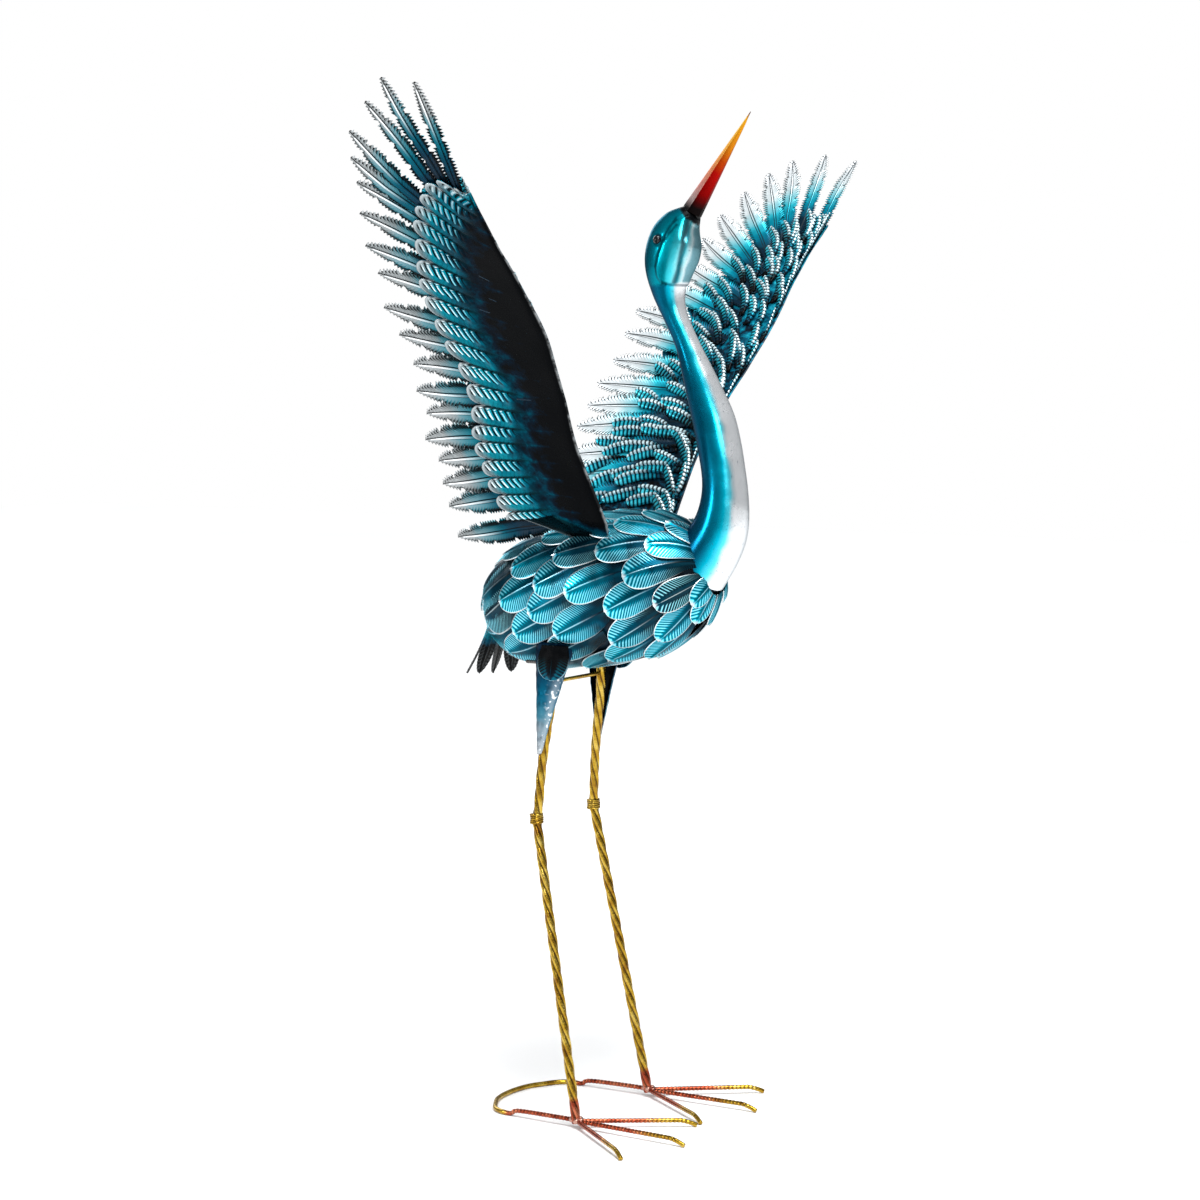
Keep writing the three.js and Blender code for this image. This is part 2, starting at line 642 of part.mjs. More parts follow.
tailFeathers.forEach((feather, i) => {
  addPiece(`tail_feather_${i + 1}`, tailFeather(feather), paint.tailBlack, [shellWithGap]);
});

addPiece('leg_left', twistedBar(1, 0), paint.brass, [shellWithGap]);
addPiece('leg_right', twistedBar(-1, 0), paint.brass, [shellWithGap]);
addPair('knee_wrap', wrapAtKnee(), paint.brass, legsWithGap);
addPiece('leg_brace', legBrace(), paint.brass, legsWithGap);
addPair('thigh', thighShell(), paint.thigh, [shellWithGap]);
addPair('thigh_feather', thighFeather(), paint.wingDark, [shellWithGap]);
addPair('body_bolt', boltStub(), paint.bolt, [shellWithGap]);

const middleToes = bothSides(toe(toeTips.middle, gap));
addPair('middle_toe', toe(toeTips.middle, 0), paint.copper, legsWithGap);
addPair('inner_toe', toe(toeTips.inner, 0), paint.copper, [...middleToes, ...legsWithGap]);
addPair('outer_toe', toe(toeTips.outer, 0), paint.copper, [...middleToes, ...legsWithGap]);
const toesWithGap = Object.values(toeTips).flatMap((tip) => bothSides(toe(tip, gap)));
const loop = standing(bar(loopLine(), rod, 6, 30));
addPiece('stand_loop', loop, paint.brass, [...toesWithGap, ...legsWithGap]);

// The origin is on the ground, under the middle of the box round the whole bird
const bounds = new THREE.Box3().setFromObject(crane);
const middle = bounds.getCenter(new THREE.Vector3());
crane.position.set(-middle.x, -middle.y, -bounds.min.z);

export default crane;
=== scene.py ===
import math
import random

import bmesh
import bpy
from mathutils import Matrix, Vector, noise


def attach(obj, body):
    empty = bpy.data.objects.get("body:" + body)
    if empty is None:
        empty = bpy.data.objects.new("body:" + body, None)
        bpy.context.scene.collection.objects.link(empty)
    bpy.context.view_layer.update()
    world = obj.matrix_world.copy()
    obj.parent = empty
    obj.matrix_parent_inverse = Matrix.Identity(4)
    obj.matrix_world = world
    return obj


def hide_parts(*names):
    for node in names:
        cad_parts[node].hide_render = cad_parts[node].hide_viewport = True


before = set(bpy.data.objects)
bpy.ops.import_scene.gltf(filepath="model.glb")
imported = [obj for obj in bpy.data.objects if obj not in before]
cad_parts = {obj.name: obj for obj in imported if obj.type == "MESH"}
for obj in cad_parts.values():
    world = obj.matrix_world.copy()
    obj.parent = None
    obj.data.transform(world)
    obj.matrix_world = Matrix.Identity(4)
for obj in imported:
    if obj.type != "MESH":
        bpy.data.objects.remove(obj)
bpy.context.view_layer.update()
print("frame loaded with", len(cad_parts), "nodes")

# The bird is drawn in millimetres, looking along -Y, with its left side on +X
millimetre = 0.001
frameShift = Vector((5.8023, -4.2529, 0))
sides = ((1, "left"), (-1, "right"))
fullTurn = 2 * math.pi
mergeDistance = 1e-6
curveSteps = 400


def clamp(value, low=0.0, high=1.0):
    return max(low, min(high, value))


def lerp(start, end, share):
    return start + (end - start) * share


def ease(low, high, value):
    share = clamp((value - low) / (high - low))
    return share * share * (3 - 2 * share)


def roughly(point, size, seed=0.0):  # a smooth wobble of about -1 to 1 that changes over size mm
    return noise.noise(Vector(point) / size + Vector((seed * 7.3, seed * 3.1, seed)))


def onSide(side, point):  # a place on the left, or its mirror image on the right
    x, y, z = point
    return Vector((side * x, y, z))


def inFrame(point):  # from the drawing's millimetres to the frame's metres
    return (Vector(point) + frameShift) * millimetre


def curvePoint(points, share):  # a smooth curve through the points
    spot = clamp(share) * (len(points) - 1)
    i = min(int(spot), len(points) - 2)
    f = spot - i
    nearby = [points[max(i - 1, 0)], points[i], points[i + 1], points[min(i + 2, len(points) - 1)]]
    p, q, r, s = (Vector(point) for point in nearby)
    squared = (2 * p - 5 * q + 4 * r - s) * f ** 2
    return 0.5 * (2 * q + (r - p) * f + squared + (3 * q - p - 3 * r + s) * f ** 3)


def evenPath(points, steps, smooth=True):  # steps + 1 points that lie evenly along the curve or the line
    fine = [Vector(point) for point in points]
    if smooth:
        fine = [curvePoint(points, i / curveSteps) for i in range(curveSteps + 1)]
    reach = [0.0]
    for before, after in zip(fine, fine[1:]):
        reach.append(reach[-1] + (after - before).length)
    path = []
    k = 0
    for i in range(steps + 1):
        goal = reach[-1] * i / steps
        while k < len(fine) - 2 and reach[k + 1] < goal:
            k += 1
        span = max(reach[k + 1] - reach[k], 1e-9)
        path.append(fine[k].lerp(fine[k + 1], clamp((goal - reach[k]) / span)))
    return path


def pathLength(path):
    return sum((after - before).length for before, after in zip(path, path[1:]))


def pointing(degrees):  # a direction on the wing, turned from straight back towards the wing tip
    angle = math.radians(degrees)
    return Vector((math.sin(angle), math.cos(angle)))


# Mesh helpers

marks = ("along", "edge", "ridge", "rib", "tone", "shade")  # what the paints read at each vertex


def newMesh():
    bm = bmesh.new()
    for mark in marks:
        bm.verts.layers.float.new(mark)
    return bm


def addGrid(bm, columns, rows, shape):
    # shape(column, row) gives a vertex's place in mm and its marks
    for vert in bmesh.ops.create_grid(bm, x_segments=columns, y_segments=rows, size=1)["verts"]:
        column = round((vert.co.x + 1) / 2 * columns)
        row = round((vert.co.y + 1) / 2 * rows)
        point, values = shape(column, row)
        vert.co = inFrame(point)
        for mark, value in values.items():
            vert[bm.verts.layers.float[mark]] = value


def closeSkin(bm):  # joins the seam of a swept skin and fills its ends
    bmesh.ops.remove_doubles(bm, verts=bm.verts, dist=mergeDistance)
    bmesh.ops.holes_fill(bm, edges=[edge for edge in bm.edges if edge.is_boundary], sides=0)


def addTube(bm, path, around, section, sideways=Vector((1, 0, 0))):
    # section(share, turn) gives the radius in mm and the marks
    steps = len(path) - 1

    def shape(column, row):
        turn = fullTurn * column / around
        heading = (path[min(row + 1, steps)] - path[max(row - 1, 0)]).normalized()
        right = (sideways - heading * sideways.dot(heading)).normalized()
        front = heading.cross(right)
        radius, values = section(row / steps, turn)
        return path[row] + right * radius * math.cos(turn) + front * radius * math.sin(turn), values

    addGrid(bm, around, steps, shape)
    closeSkin(bm)


def finishPiece(name, bm, material, replaced, sheet=0.0, turned=False, underside=None, sharp=0.0):
    # a sheet is given its thickness in mm, and its upper side is the side that was made first
    bmesh.ops.remove_doubles(bm, verts=bm.verts, dist=mergeDistance)
    bmesh.ops.dissolve_degenerate(bm, edges=bm.edges, dist=mergeDistance / 10)
    if not sheet:
        bmesh.ops.recalc_face_normals(bm, faces=bm.faces)
    elif turned:
        bmesh.ops.reverse_faces(bm, faces=bm.faces)
    mesh = bpy.data.meshes.new(name)
    bm.to_mesh(mesh)
    bm.free()
    mesh.shade_smooth()
    if sharp:
        mesh.set_sharp_from_angle(angle=math.radians(sharp))
    mesh.materials.append(material)
    piece = bpy.data.objects.new(name, mesh)
    bpy.context.collection.objects.link(piece)
    if sheet:
        sheetMetal = piece.modifiers.new("sheet metal", "SOLIDIFY")
        sheetMetal.thickness = sheet * millimetre
        sheetMetal.offset = 0
        if underside:
            mesh.materials.append(underside)
            sheetMetal.material_offset = 1
    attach(piece, "root")
    if replaced:
        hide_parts(*replaced)


def makePair(name, nodes, material, draw, mirrored=False, **finish):
    # one piece on each side, drawn by draw(bm, side, word), in place of that side's nodes
    for side, word in sides:
        bm = newMesh()
        draw(bm, side, word)
        replaced = [f"{node}_{word}" for node in nodes]
        finishPiece(f"{name}_{word}", bm, material, replaced, turned=mirrored and side < 0, **finish)


# Materials

class Value:  # a socket that can be added, multiplied and so on
    def __init__(self, finish, socket):
        self.finish = finish
        self.socket = socket

    def __add__(self, other):
        return self.finish.maths("ADD", self, other)

    def __radd__(self, other):
        return self.finish.maths("ADD", other, self)

    def __sub__(self, other):
        return self.finish.maths("SUBTRACT", self, other)

    def __rsub__(self, other):
        return self.finish.maths("SUBTRACT", other, self)

    def __mul__(self, other):
        return self.finish.maths("MULTIPLY", self, other)

    def __rmul__(self, other):
        return self.finish.maths("MULTIPLY", other, self)


class Finish:  # a paint or metal, with its nodes
    def __init__(self, name):
        self.material = bpy.data.materials.new(name)
        self.material.use_nodes = True
        self.tree = self.material.node_tree
        self.tree.nodes.clear()

    def node(self, kind, settings, sockets, out=0):
        made = self.tree.nodes.new(kind)
        for key, value in settings.items():
            if key == "stops":
                stops = made.color_ramp.elements
                while len(stops) < len(value):
                    stops.new(0.5)
                for stop, (position, colour) in zip(stops, value):
                    stop.position = position
                    stop.color = (*colour, 1)
            else:
                setattr(made, key, value)
        for key, value in sockets.items():
            if isinstance(value, Value):
                self.tree.links.new(value.socket, made.inputs[key])
            else:
                made.inputs[key].default_value = value
        return Value(self, made.outputs[out]) if made.outputs else None

    def maths(self, operation, first, second):
        return self.node("ShaderNodeMath", {"operation": operation}, {0: first, 1: second})

    def mark(self, name):
        return self.node("ShaderNodeAttribute", {"attribute_name": name}, {}, "Fac")

    def place(self):
        return self.node("ShaderNodeTexCoord", {}, {}, "Object")

    def cloud(self, size, detail=3.0, roughness=0.5):  # size in mm
        sockets = {"Scale": 1 / (size * millimetre), "Detail": detail, "Roughness": roughness}
        return self.node("ShaderNodeTexNoise", {}, {"Vector": self.place(), **sockets})

    def between(self, value, low, high, start=0.0, end=1.0):  # a smooth step from start to end
        return self.node("ShaderNodeMapRange", {"interpolation_type": "SMOOTHSTEP"},
                         {0: value, 1: low, 2: high, 3: start, 4: end})

    def ramp(self, value, stops):
        return self.node("ShaderNodeValToRGB", {"stops": stops}, {0: value})

    def mix(self, factor, first, second):
        colours = {6: first, 7: second}
        for key, colour in colours.items():
            if not isinstance(colour, Value):
                colours[key] = (*colour, 1)
        return self.node("ShaderNodeMix", {"data_type": "RGBA"}, {0: factor, **colours}, 2)

    def bump(self, height, depth, strength):  # depth in mm
        sockets = {"Height": height, "Distance": depth * millimetre, "Strength": strength}
        return self.node("ShaderNodeBump", {}, sockets)

    def coat(self, sockets):
        if not isinstance(sockets.get("Base Color"), Value):
            sockets["Base Color"] = (*sockets["Base Color"], 1)
        shader = self.node("ShaderNodeBsdfPrincipled", {}, sockets)
        self.node("ShaderNodeOutputMaterial", {}, {"Surface": shader})
        return self.material


navy = (0.002, 0.013, 0.026)
black = (0.0014, 0.0017, 0.0022)
deepTeal = (0.0, 0.075, 0.13)
teal = (0.0, 0.2, 0.29)
cyan = (0.02, 0.42, 0.54)
brightCyan = (0.1, 0.62, 0.74)
silver = (0.62, 0.66, 0.68)
white = (0.9, 0.93, 0.95)


plainLook = {
    "groove": 1.0, "grooveShadeColour": black, "rimColour": white, "smoothRim": 0, "edgeShade": 0,
    "metalFrom": 0.2,
}


def featherPaint(name, stops, ownLook):
    # a feather sprayed from its root to its tip, with painted highlights on its barbs' crests, rim and rib,
    # and painted shade in its grooves and slots
    look = {**plainLook, **ownLook}
    paint = Finish(name)
    along, edge, ridge = paint.mark("along"), paint.mark("edge"), paint.mark("ridge")
    cloud = paint.cloud(look["cloud"])
    sprayed = along + (cloud - 0.5) * look["drift"] + paint.mark("tone") * look["spread"]
    colour = paint.ramp(sprayed, stops)
    # how far along the feather the painted highlights reach
    highlightedTowardsTip = paint.between(along, look["highlightFrom"], look["highlightTo"])
    # painted highlight on the crests of the embossed barbs
    crest = paint.between(ridge, 0.55, 0.85) * highlightedTowardsTip * look["crestHighlight"]
    crestHighlighted = paint.mix(crest, colour, look["crestHighlightColour"])
    rimShine = paint.between(edge, look["rimFrom"], 0.97) * highlightedTowardsTip * look["rim"]
    rimmed = paint.mix(rimShine, crestHighlighted, look["rimColour"])
    ribShine = paint.between(paint.mark("rib"), 0.4, 0.9) * highlightedTowardsTip * look["ribShine"]
    ribbed = paint.mix(ribShine, rimmed, look["rimColour"])
    smooth = paint.between(edge, 0.8, 0.97) * look["smoothRim"]
    # painted shade in the grooves between the barbs and in the slots between the teeth
    groove = paint.between(ridge, 0.6, 0.25) * (1 - smooth) * look["groove"]
    grooved = paint.mix(groove, ribbed, look["grooveShadeColour"])
    edgeShade = paint.between(edge, 0.2, 0.7) * paint.between(along, 0.84, 0.6) * look["edgeShade"]
    metalFrom, gloss = look["metalFrom"], look["gloss"]
    return paint.coat({
        "Base Color": paint.mix(edgeShade, grooved, black),
        "Metallic": paint.between(sprayed, metalFrom, metalFrom + 0.25, 0.2, look["metal"]),
        "Roughness": paint.between(cloud, 0.3, 0.7, gloss - 0.06, gloss + 0.08),
        "Normal": paint.bump(paint.cloud(1.6), 0.12, 0.4),
        "Specular IOR Level": 0.15, "Specular Tint": (0.5, 0.5, 0.5, 1),
    })


bodyFeatherPaint = featherPaint("bodyFeatherPaint", [
    (0.12, black), (0.28, navy), (0.42, (0.0, 0.06, 0.11)), (0.54, (0.0, 0.17, 0.26)),
    (0.72, (0.0, 0.31, 0.45)), (1.0, (0.0, 0.5, 0.68)),
], {
    "cloud": 14, "drift": 0.6, "spread": 0.3, "groove": 0.8, "grooveShadeColour": (0.0, 0.03, 0.05), "crestHighlight": 0.8,
    "crestHighlightColour": (0.3, 0.83, 0.95), "highlightFrom": 0.2, "highlightTo": 0.85, "rimFrom": 0.86, "rim": 0.9,
    "smoothRim": 1.0, "ribShine": 0.3, "metalFrom": 0.1, "metal": 0.8, "gloss": 0.31,
})
longFeatherTopPaint = featherPaint("longFeatherTopPaint", [
    (0.2, navy), (0.3, deepTeal), (0.4, teal), (0.5, (0.02, 0.4, 0.5)), (0.62, (0.22, 0.52, 0.58)),
    (0.72, (0.5, 0.58, 0.6)), (1.0, (0.64, 0.66, 0.68)),
], {
    "cloud": 16, "drift": 0.16, "spread": 0.1, "grooveShadeColour": (0.006, 0.014, 0.018), "crestHighlight": 0.3,
    "crestHighlightColour": white, "highlightFrom": 0.45, "highlightTo": 0.8, "rimFrom": 0.5, "rim": 0, "ribShine": 0.7,
    "metal": 0.5, "gloss": 0.36,
})
longFeatherUnderPaint = featherPaint("longFeatherUnderPaint", [
    (0.2, navy), (0.36, (0.0, 0.025, 0.05)), (0.5, (0.0, 0.075, 0.115)), (0.62, (0.0, 0.135, 0.18)),
    (0.72, (0.006, 0.14, 0.18)), (0.82, (0.11, 0.135, 0.14)), (1.0, (0.24, 0.245, 0.245)),
], {
    "cloud": 16, "drift": 0.24, "spread": 0.14, "grooveShadeColour": (0.001, 0.002, 0.003), "crestHighlight": 0.35,
    "crestHighlightColour": silver, "highlightFrom": 0.5, "highlightTo": 0.9, "rimFrom": 0.6, "rim": 0.1, "ribShine": 1.0,
    "edgeShade": 0.95, "metal": 0.7, "gloss": 0.34,
})
covertPaint = featherPaint("covertPaint", [
    (0.12, black), (0.26, navy), (0.38, deepTeal), (0.54, teal), (0.78, (0.0, 0.42, 0.55)),
    (1.0, (0.06, 0.56, 0.68)),
], {
    "cloud": 18, "drift": 0.8, "spread": 0.4, "groove": 0.95, "crestHighlight": 0.5, "crestHighlightColour": brightCyan,
    "highlightFrom": 0.1, "highlightTo": 0.6, "rimFrom": 0.8, "rim": 0.5, "rimColour": (0.78, 0.93, 0.97),
    "ribShine": 0.85, "metal": 0.6, "gloss": 0.32,
})
tailPaint = featherPaint("tailPaint", [
    (0.2, (0.3, 0.55, 0.6)), (0.34, cyan), (0.46, deepTeal), (0.56, black), (1.0, black),
], {
    "cloud": 8, "drift": 0.2, "spread": 0.05, "groove": 0.4, "crestHighlight": 0.06, "crestHighlightColour": silver,
    "highlightFrom": 0.3, "highlightTo": 0.9, "rimFrom": 0.8, "rim": 0.1, "rimColour": silver, "smoothRim": 0.5,
    "ribShine": 0.1, "metal": 0.2, "gloss": 0.3,
})


# Body shell, an egg whose axis droops towards the rump. t goes from -1 at the breast to 1 at the
# rump, and turn goes round from the back line

body = {
    "middleY": 11, "middleZ": 570, "halfLength": 134, "halfWidth": 75, "backHeight": 67, "bellyDepth": 81,
    "noseRise": 23, "sag": 5, "lean": 0.03, "frontFullness": 0.07, "frontPower": (2, 2.4),
    "rearPower": (3.5, 3.2), "around": 64, "along": 56,
}


def bodySkin(t, turn):
    up = math.cos(turn)
    belly = (1 - up) / 2
    power = lerp(*(body["frontPower"] if t < 0 else body["rearPower"]), belly)
    swell = math.sqrt(max(0, 1 - abs(t) ** power)) * (1 - body["frontFullness"] * t)
    rise = up * swell * (body["backHeight"] if up > 0 else body["bellyDepth"])
    return Vector((
        math.sin(turn) * swell * body["halfWidth"],
        body["middleY"] + body["halfLength"] * t + body["lean"] * rise,
        body["middleZ"] - body["noseRise"] * t - body["sag"] * t * t + rise,
    ))


def onBody(t, turn, lift):
    step = 0.01
    here = bodySkin(t, turn)
    back = bodySkin(min(t + step, 1), turn) - bodySkin(t - step, turn)
    around = bodySkin(t, turn + step) - here
    return here + around.cross(back).normalized() * lift


def makeBodyShell():
    shell = Finish("shellPaint")
    cloud = shell.cloud(30)
    shellPaint = shell.coat({
        "Base Color": shell.ramp(cloud, [(0.35, black), (0.6, navy), (0.8, deepTeal)]),
        "Metallic": 0.2, "Specular IOR Level": 0.15, "Roughness": shell.between(cloud, 0.3, 0.7, 0.35, 0.5),
        "Normal": shell.bump(shell.cloud(4), 0.3, 0.5),
    })

    def shape(column, row):
        t = clamp(-math.cos(math.pi * row / body["along"]), -1, 1)
        return bodySkin(t, fullTurn * column / body["around"]), {}

    bm = newMesh()
    addGrid(bm, body["around"], body["along"], shape)
    finishPiece("body_shell_skin", bm, shellPaint, ["body_shell"])


# A feather is a grid of barbs that slant back from the rib. Every second row is raised, so that
# the barbs stand out and the edge is toothed

plainColumns = (-1, -0.9, -0.5, -0.1, 0, 0.1, 0.5, 0.9, 1)
ribbedColumns = (-1, -0.9, -0.62, -0.22, -0.13, -0.06, 0, 0.06, 0.13, 0.22, 0.62, 0.9, 1)
plainFeather = {"tooth": 0, "bites": (), "biteDepth": 0, "ribEdge": 0, "ribGroove": 0.1, "rib": 0.7}
bite = {"halfWidth": 2.6, "upperStretch": 1, "lowerStretch": 1.12}


def addFeather(bm, ownFeather, spot, tone=0.0):
    # spot(along, across, lift) gives the place for a distance from the root, a distance from the
    # rib, and a height above the sheet
    feather = {**plainFeather, **ownFeather}
    length, rows = feather["length"], feather["rows"]
    columns = ribbedColumns if feather["ribEdge"] else plainColumns

    def halfWidth(share):
        fore = ease(0, feather["widest"], share) if share < feather["widest"] else 1.0
        tipShare = clamp((share - feather["roundFrom"]) / (1 - feather["roundFrom"]))
        tip = max(0.0, 1 - tipShare ** feather["tipPower"]) ** feather["tipRound"]
        return feather["halfWidth"] * lerp(feather["rootWidth"], 1, fore) * tip

    def shape(column, row):
        across = columns[column]
        aside = abs(across)
        outerShare = row / rows
        width = halfWidth(outerShare)
        slant = min(feather["slant"] * width, 0.5 * outerShare * length)
        along = outerShare * length - slant * (1 - aside)
        raised = row % 2
        toothed = ease(feather["toothFrom"], 1, aside)
        reach = width + feather["tooth"] * (raised - 0.5) * (1 if width > 1 else 0)
        stretch = bite["upperStretch" if across > 0 else "lowerStretch"]
        for place in feather["bites"]:
            fromBite = (length - along - place * stretch) / bite["halfWidth"]
            reach -= feather["biteDepth"] * max(0, 1 - abs(fromBite)) * (1 if width > 6 else 0)
        sideways = aside * width if aside < 0.6 else lerp(0.6 * width, max(reach, 0), (aside - 0.6) / 0.4)
        onRib = aside <= feather["ribEdge"]
        beside = not onRib and aside <= feather["ribGroove"]
        barb = feather["relief"] * (raised - 0.5) * toothed * (1 if 0.1 < aside < 0.95 else 0.3)
        rib = feather["rib"] if onRib else (-0.35 * feather["rib"] if beside else 0)
        crown = feather["crown"] * (1 - across * across)
        rim = feather["rimRise"] * ease(0.85, 1, aside)
        values = {
            "along": along / length, "edge": max(across * across, ease(0.93, 1, outerShare)), "tone": tone,
            "ridge": 0.75 if onRib else (0 if beside else lerp(1, raised, toothed)),
            "rib": ease(length - 5, length - 9, along) if onRib else 0,
        }
        return spot(along, math.copysign(sideways, across), barb + rib + crown + rim), values

    addGrid(bm, len(columns) - 1, rows, shape)


# Body feathers, each at its own place: t and turn of its tip, in degrees from the back line
bodyFeather = {
    "length": 78, "halfWidth": 19.5, "rows": 60, "slant": 0.85, "rootWidth": 0.62, "widest": 0.5,
    "roundFrom": 0.62, "tipPower": 2.1, "tipRound": 0.5, "toothFrom": -1, "relief": 0.6, "crown": 1.5,
    "rimRise": 0.5, "rootLift": 1.2, "tipLift": 7.4, "shingle": 0.045, "lean": 13, "jitter": 4,
    "tips": (
        (-0.66, 24), (-0.3, 33), (-0.61, 58), (-0.25, 64), (0.13, 62), (0.53, 65), (-0.49, 87),
        (-0.01, 94), (0.28, 85), (0.63, 92), (-0.68, 114), (-0.33, 110), (0.16, 123), (0.35, 104),
        (0.54, 119), (0.87, 107), (-0.61, 149), (-0.29, 136), (-0.16, 156), (-0.1, 38), (0.33, 38),
        (0.72, 38), (0.94, 62), (0.9, 84), (-0.42, 10), (-0.05, 12), (0.18, 13), (0.52, 13), (0.9, 14),
        (0.3, 142), (0.72, 143), (0.92, 132), (0.12, 168), (0.52, 167), (0.88, 165), (-0.42, 171),
        (-0.88, 132), (-0.84, 160),
    ),
    # the feathers that are darker than the rest, and by how much
    "darkened": {
        (-0.68, 114): 1.5, (-0.66, 24): 0.5, (0.87, 107): 0.7, (0.94, 62): 0.6, (0.9, 84): 0.6,
        (0.13, 62): 0.5,
    },
}


def placesAlongBody(t, turn, ahead, behind, count):
    # count + 1 values of t, evenly spaced in mm from ahead of a place to behind it
    phi = math.acos(clamp(-t, -1, 1))
    table = [(0.0, t)]
    for step in (-0.02, 0.02):
        here, angle, travelled = bodySkin(t, turn), phi, 0.0
        while travelled < (ahead if step < 0 else behind) and 0.2 < angle + step < 2.95:
            angle += step
            there = bodySkin(-math.cos(angle), turn)
            travelled += (there - here).length
            here = there
            table.append((math.copysign(travelled, step), -math.cos(angle)))
    table.sort()
    places = []
    for i in range(count + 1):
        goal = lerp(-ahead, behind, i / count)
        after = next((k for k, entry in enumerate(table) if entry[0] >= goal), len(table) - 1)
        before = max(after - 1, 0)
        span = max(table[after][0] - table[before][0], 1e-9)
        places.append(lerp(table[before][1], table[after][1], clamp((goal - table[before][0]) / span)))
    return places


def onRump(x, z, lift):
    # the place on the rounded end of the body that is seen at x and z from behind
    low, high = 0.0, 1.0
    for _ in range(24):
        t = (low + high) / 2
        rise = z - (body["middleZ"] - body["noseRise"] * t - body["sag"] * t * t)
        tall = body["backHeight"] if rise > 0 else body["bellyDepth"]
        wanted = math.hypot(x / body["halfWidth"], rise / tall)
        turn = math.atan2(x / body["halfWidth"], rise / tall)
        power = lerp(*body["rearPower"], (1 - math.cos(turn)) / 2)
        swell = math.sqrt(max(0, 1 - t ** power)) * (1 - body["frontFullness"] * t)
        low, high = (t, high) if swell > wanted else (low, t)
    here = Vector((x, body["middleY"] + body["halfLength"] * t + body["lean"] * rise, z))
    backwards = power * t ** (power - 1) / body["halfLength"]
    outward = Vector((2 * x / body["halfWidth"] ** 2, backwards, 2 * rise / tall ** 2))
    return here + outward.normalized() * lift


rumpFeathers = {
    # x and z of each tip, how far it leans out in degrees, and how far it stands off the body
    "tips": (
        (-44, 526, 28, 3), (44, 526, -28, 3), (-35, 538, 24, 8), (35, 538, -24, 8), (-20, 527, 12, 8),
        (20, 527, -12, 8), (0, 521, 0, 8),
    ),
    "length": 66, "rootLift": 1.5, "topZ": 600, "tone": -0.3,
}


def addRumpFeather(bm, tipX, tipZ, lean, stand):
    length = rumpFeathers["length"]
    leaned = math.radians(lean)

    def spot(along, across, lift):
        back = length - along
        x = tipX + across * math.cos(leaned) + back * math.sin(leaned)
        z = tipZ + back * math.cos(leaned) - across * math.sin(leaned)
        rise = lerp(rumpFeathers["rootLift"], stand, along / length)
        return onRump(x, min(z, rumpFeathers["topZ"]), rise + lift)

    addFeather(bm, {**bodyFeather, "length": length}, spot, rumpFeathers["tone"])


def addBodyFeather(bm, side, tipT, tipTurn, chance):
    length = bodyFeather["length"]
    ahead, behind, steps, step = length + 4, 16, 24, 0.02
    drift = 0 if side < 0 else 1  # the left side's feathers stray from the right side's places
    tip = min(tipT + drift * chance.uniform(-0.03, 0.03), 0.95)
    axis = math.radians(tipTurn + drift * chance.uniform(-3, 3))
    places = placesAlongBody(tip, axis, ahead, behind, steps)
    degrees = bodyFeather["lean"] * ease(5, 60, tipTurn) + chance.uniform(-1, 1) * bodyFeather["jitter"]
    lean = math.radians(degrees)
    tone = chance.uniform(-0.5, 0.5) - 0.3 * ease(0.3, 0.9, tipT)
    tone -= bodyFeather["darkened"].get((tipT, tipTurn), 0)
    aside = bodySkin(tip, axis + step) - bodySkin(tip, axis)
    perRadian = max(aside.length / step, 26)

    def spot(along, across, lift):
        back = along - length
        reach = back * math.cos(lean) - across * math.sin(lean)
        beside = back * math.sin(lean) + across * math.cos(lean)
        place = clamp((reach + ahead) / (ahead + behind)) * steps
        i = min(int(place), steps - 1)
        t = lerp(places[i], places[i + 1], place - i)
        rise = lerp(bodyFeather["rootLift"], bodyFeather["tipLift"], (along / length) ** 1.15)
        sheetLift = rise + lift + bodyFeather["shingle"] * across
        return onBody(clamp(t, -0.97, 0.985), side * (axis + beside / perRadian), sheetLift)

    first = len(bm.faces)
    addFeather(bm, bodyFeather, spot, tone)
    if side < 0:
        bm.faces.ensure_lookup_table()
        bmesh.ops.reverse_faces(bm, faces=bm.faces[first:])


def makeBodyFeathers():
    bm = newMesh()
    for place in rumpFeathers["tips"]:
        addRumpFeather(bm, *place)
    chance = random.Random(4)
    for side, _ in sides:
        for tipT, tipTurn in bodyFeather["tips"]:
            addBodyFeather(bm, side, tipT, tipTurn, chance)
    rows = [f"body_feathers_{row}" for row in range(1, 6)]
    finishPiece("body_feathers", bm, bodyFeatherPaint, rows, sheet=0.8)


# Wings. A place on a wing is s along the span, y along the chord and a lift off its upper face

wing = {
    "rootX": 73, "rootZ": 637.7, "spanX": 0.671, "spanZ": 0.741, "bow": 15, "bowLength": 440, "twist": 6,
    "length": 460,
}
leadingEdge = ((-2, -35), (90, -36), (160, -47), (205, -55), (260, -62), (365, -62), (456, -68))
leading = evenPath(leadingEdge, curveSteps)
plateTips = (
    (-2, 89), (19, 92), (42, 94), (65, 92), (90, 91), (114, 85), (138, 75), (168, 67), (196, 63), (227, 65),
    (255, 64), (287, 60), (314, 54), (337, 45), (366, 31), (394, 18), (415, 4), (430, -10), (446, -25),
    (450, -42), (440, -57),
)


def onWing(side, s, y, lift):
    bent = math.sin(math.pi * clamp(s / wing["bowLength"]))
    inwards = lift + wing["bow"] * bent + wing["twist"] * (y + 50) / 180
    return Vector((
        side * (wing["rootX"] + wing["spanX"] * s - wing["spanZ"] * inwards),
        y,
        wing["rootZ"] + wing["spanZ"] * s + wing["spanX"] * inwards,
    ))


def leadingPoint(share):
    spot = clamp(share) * curveSteps
    i = min(int(spot), curveSteps - 1)
    return leading[i].lerp(leading[i + 1], spot - i)


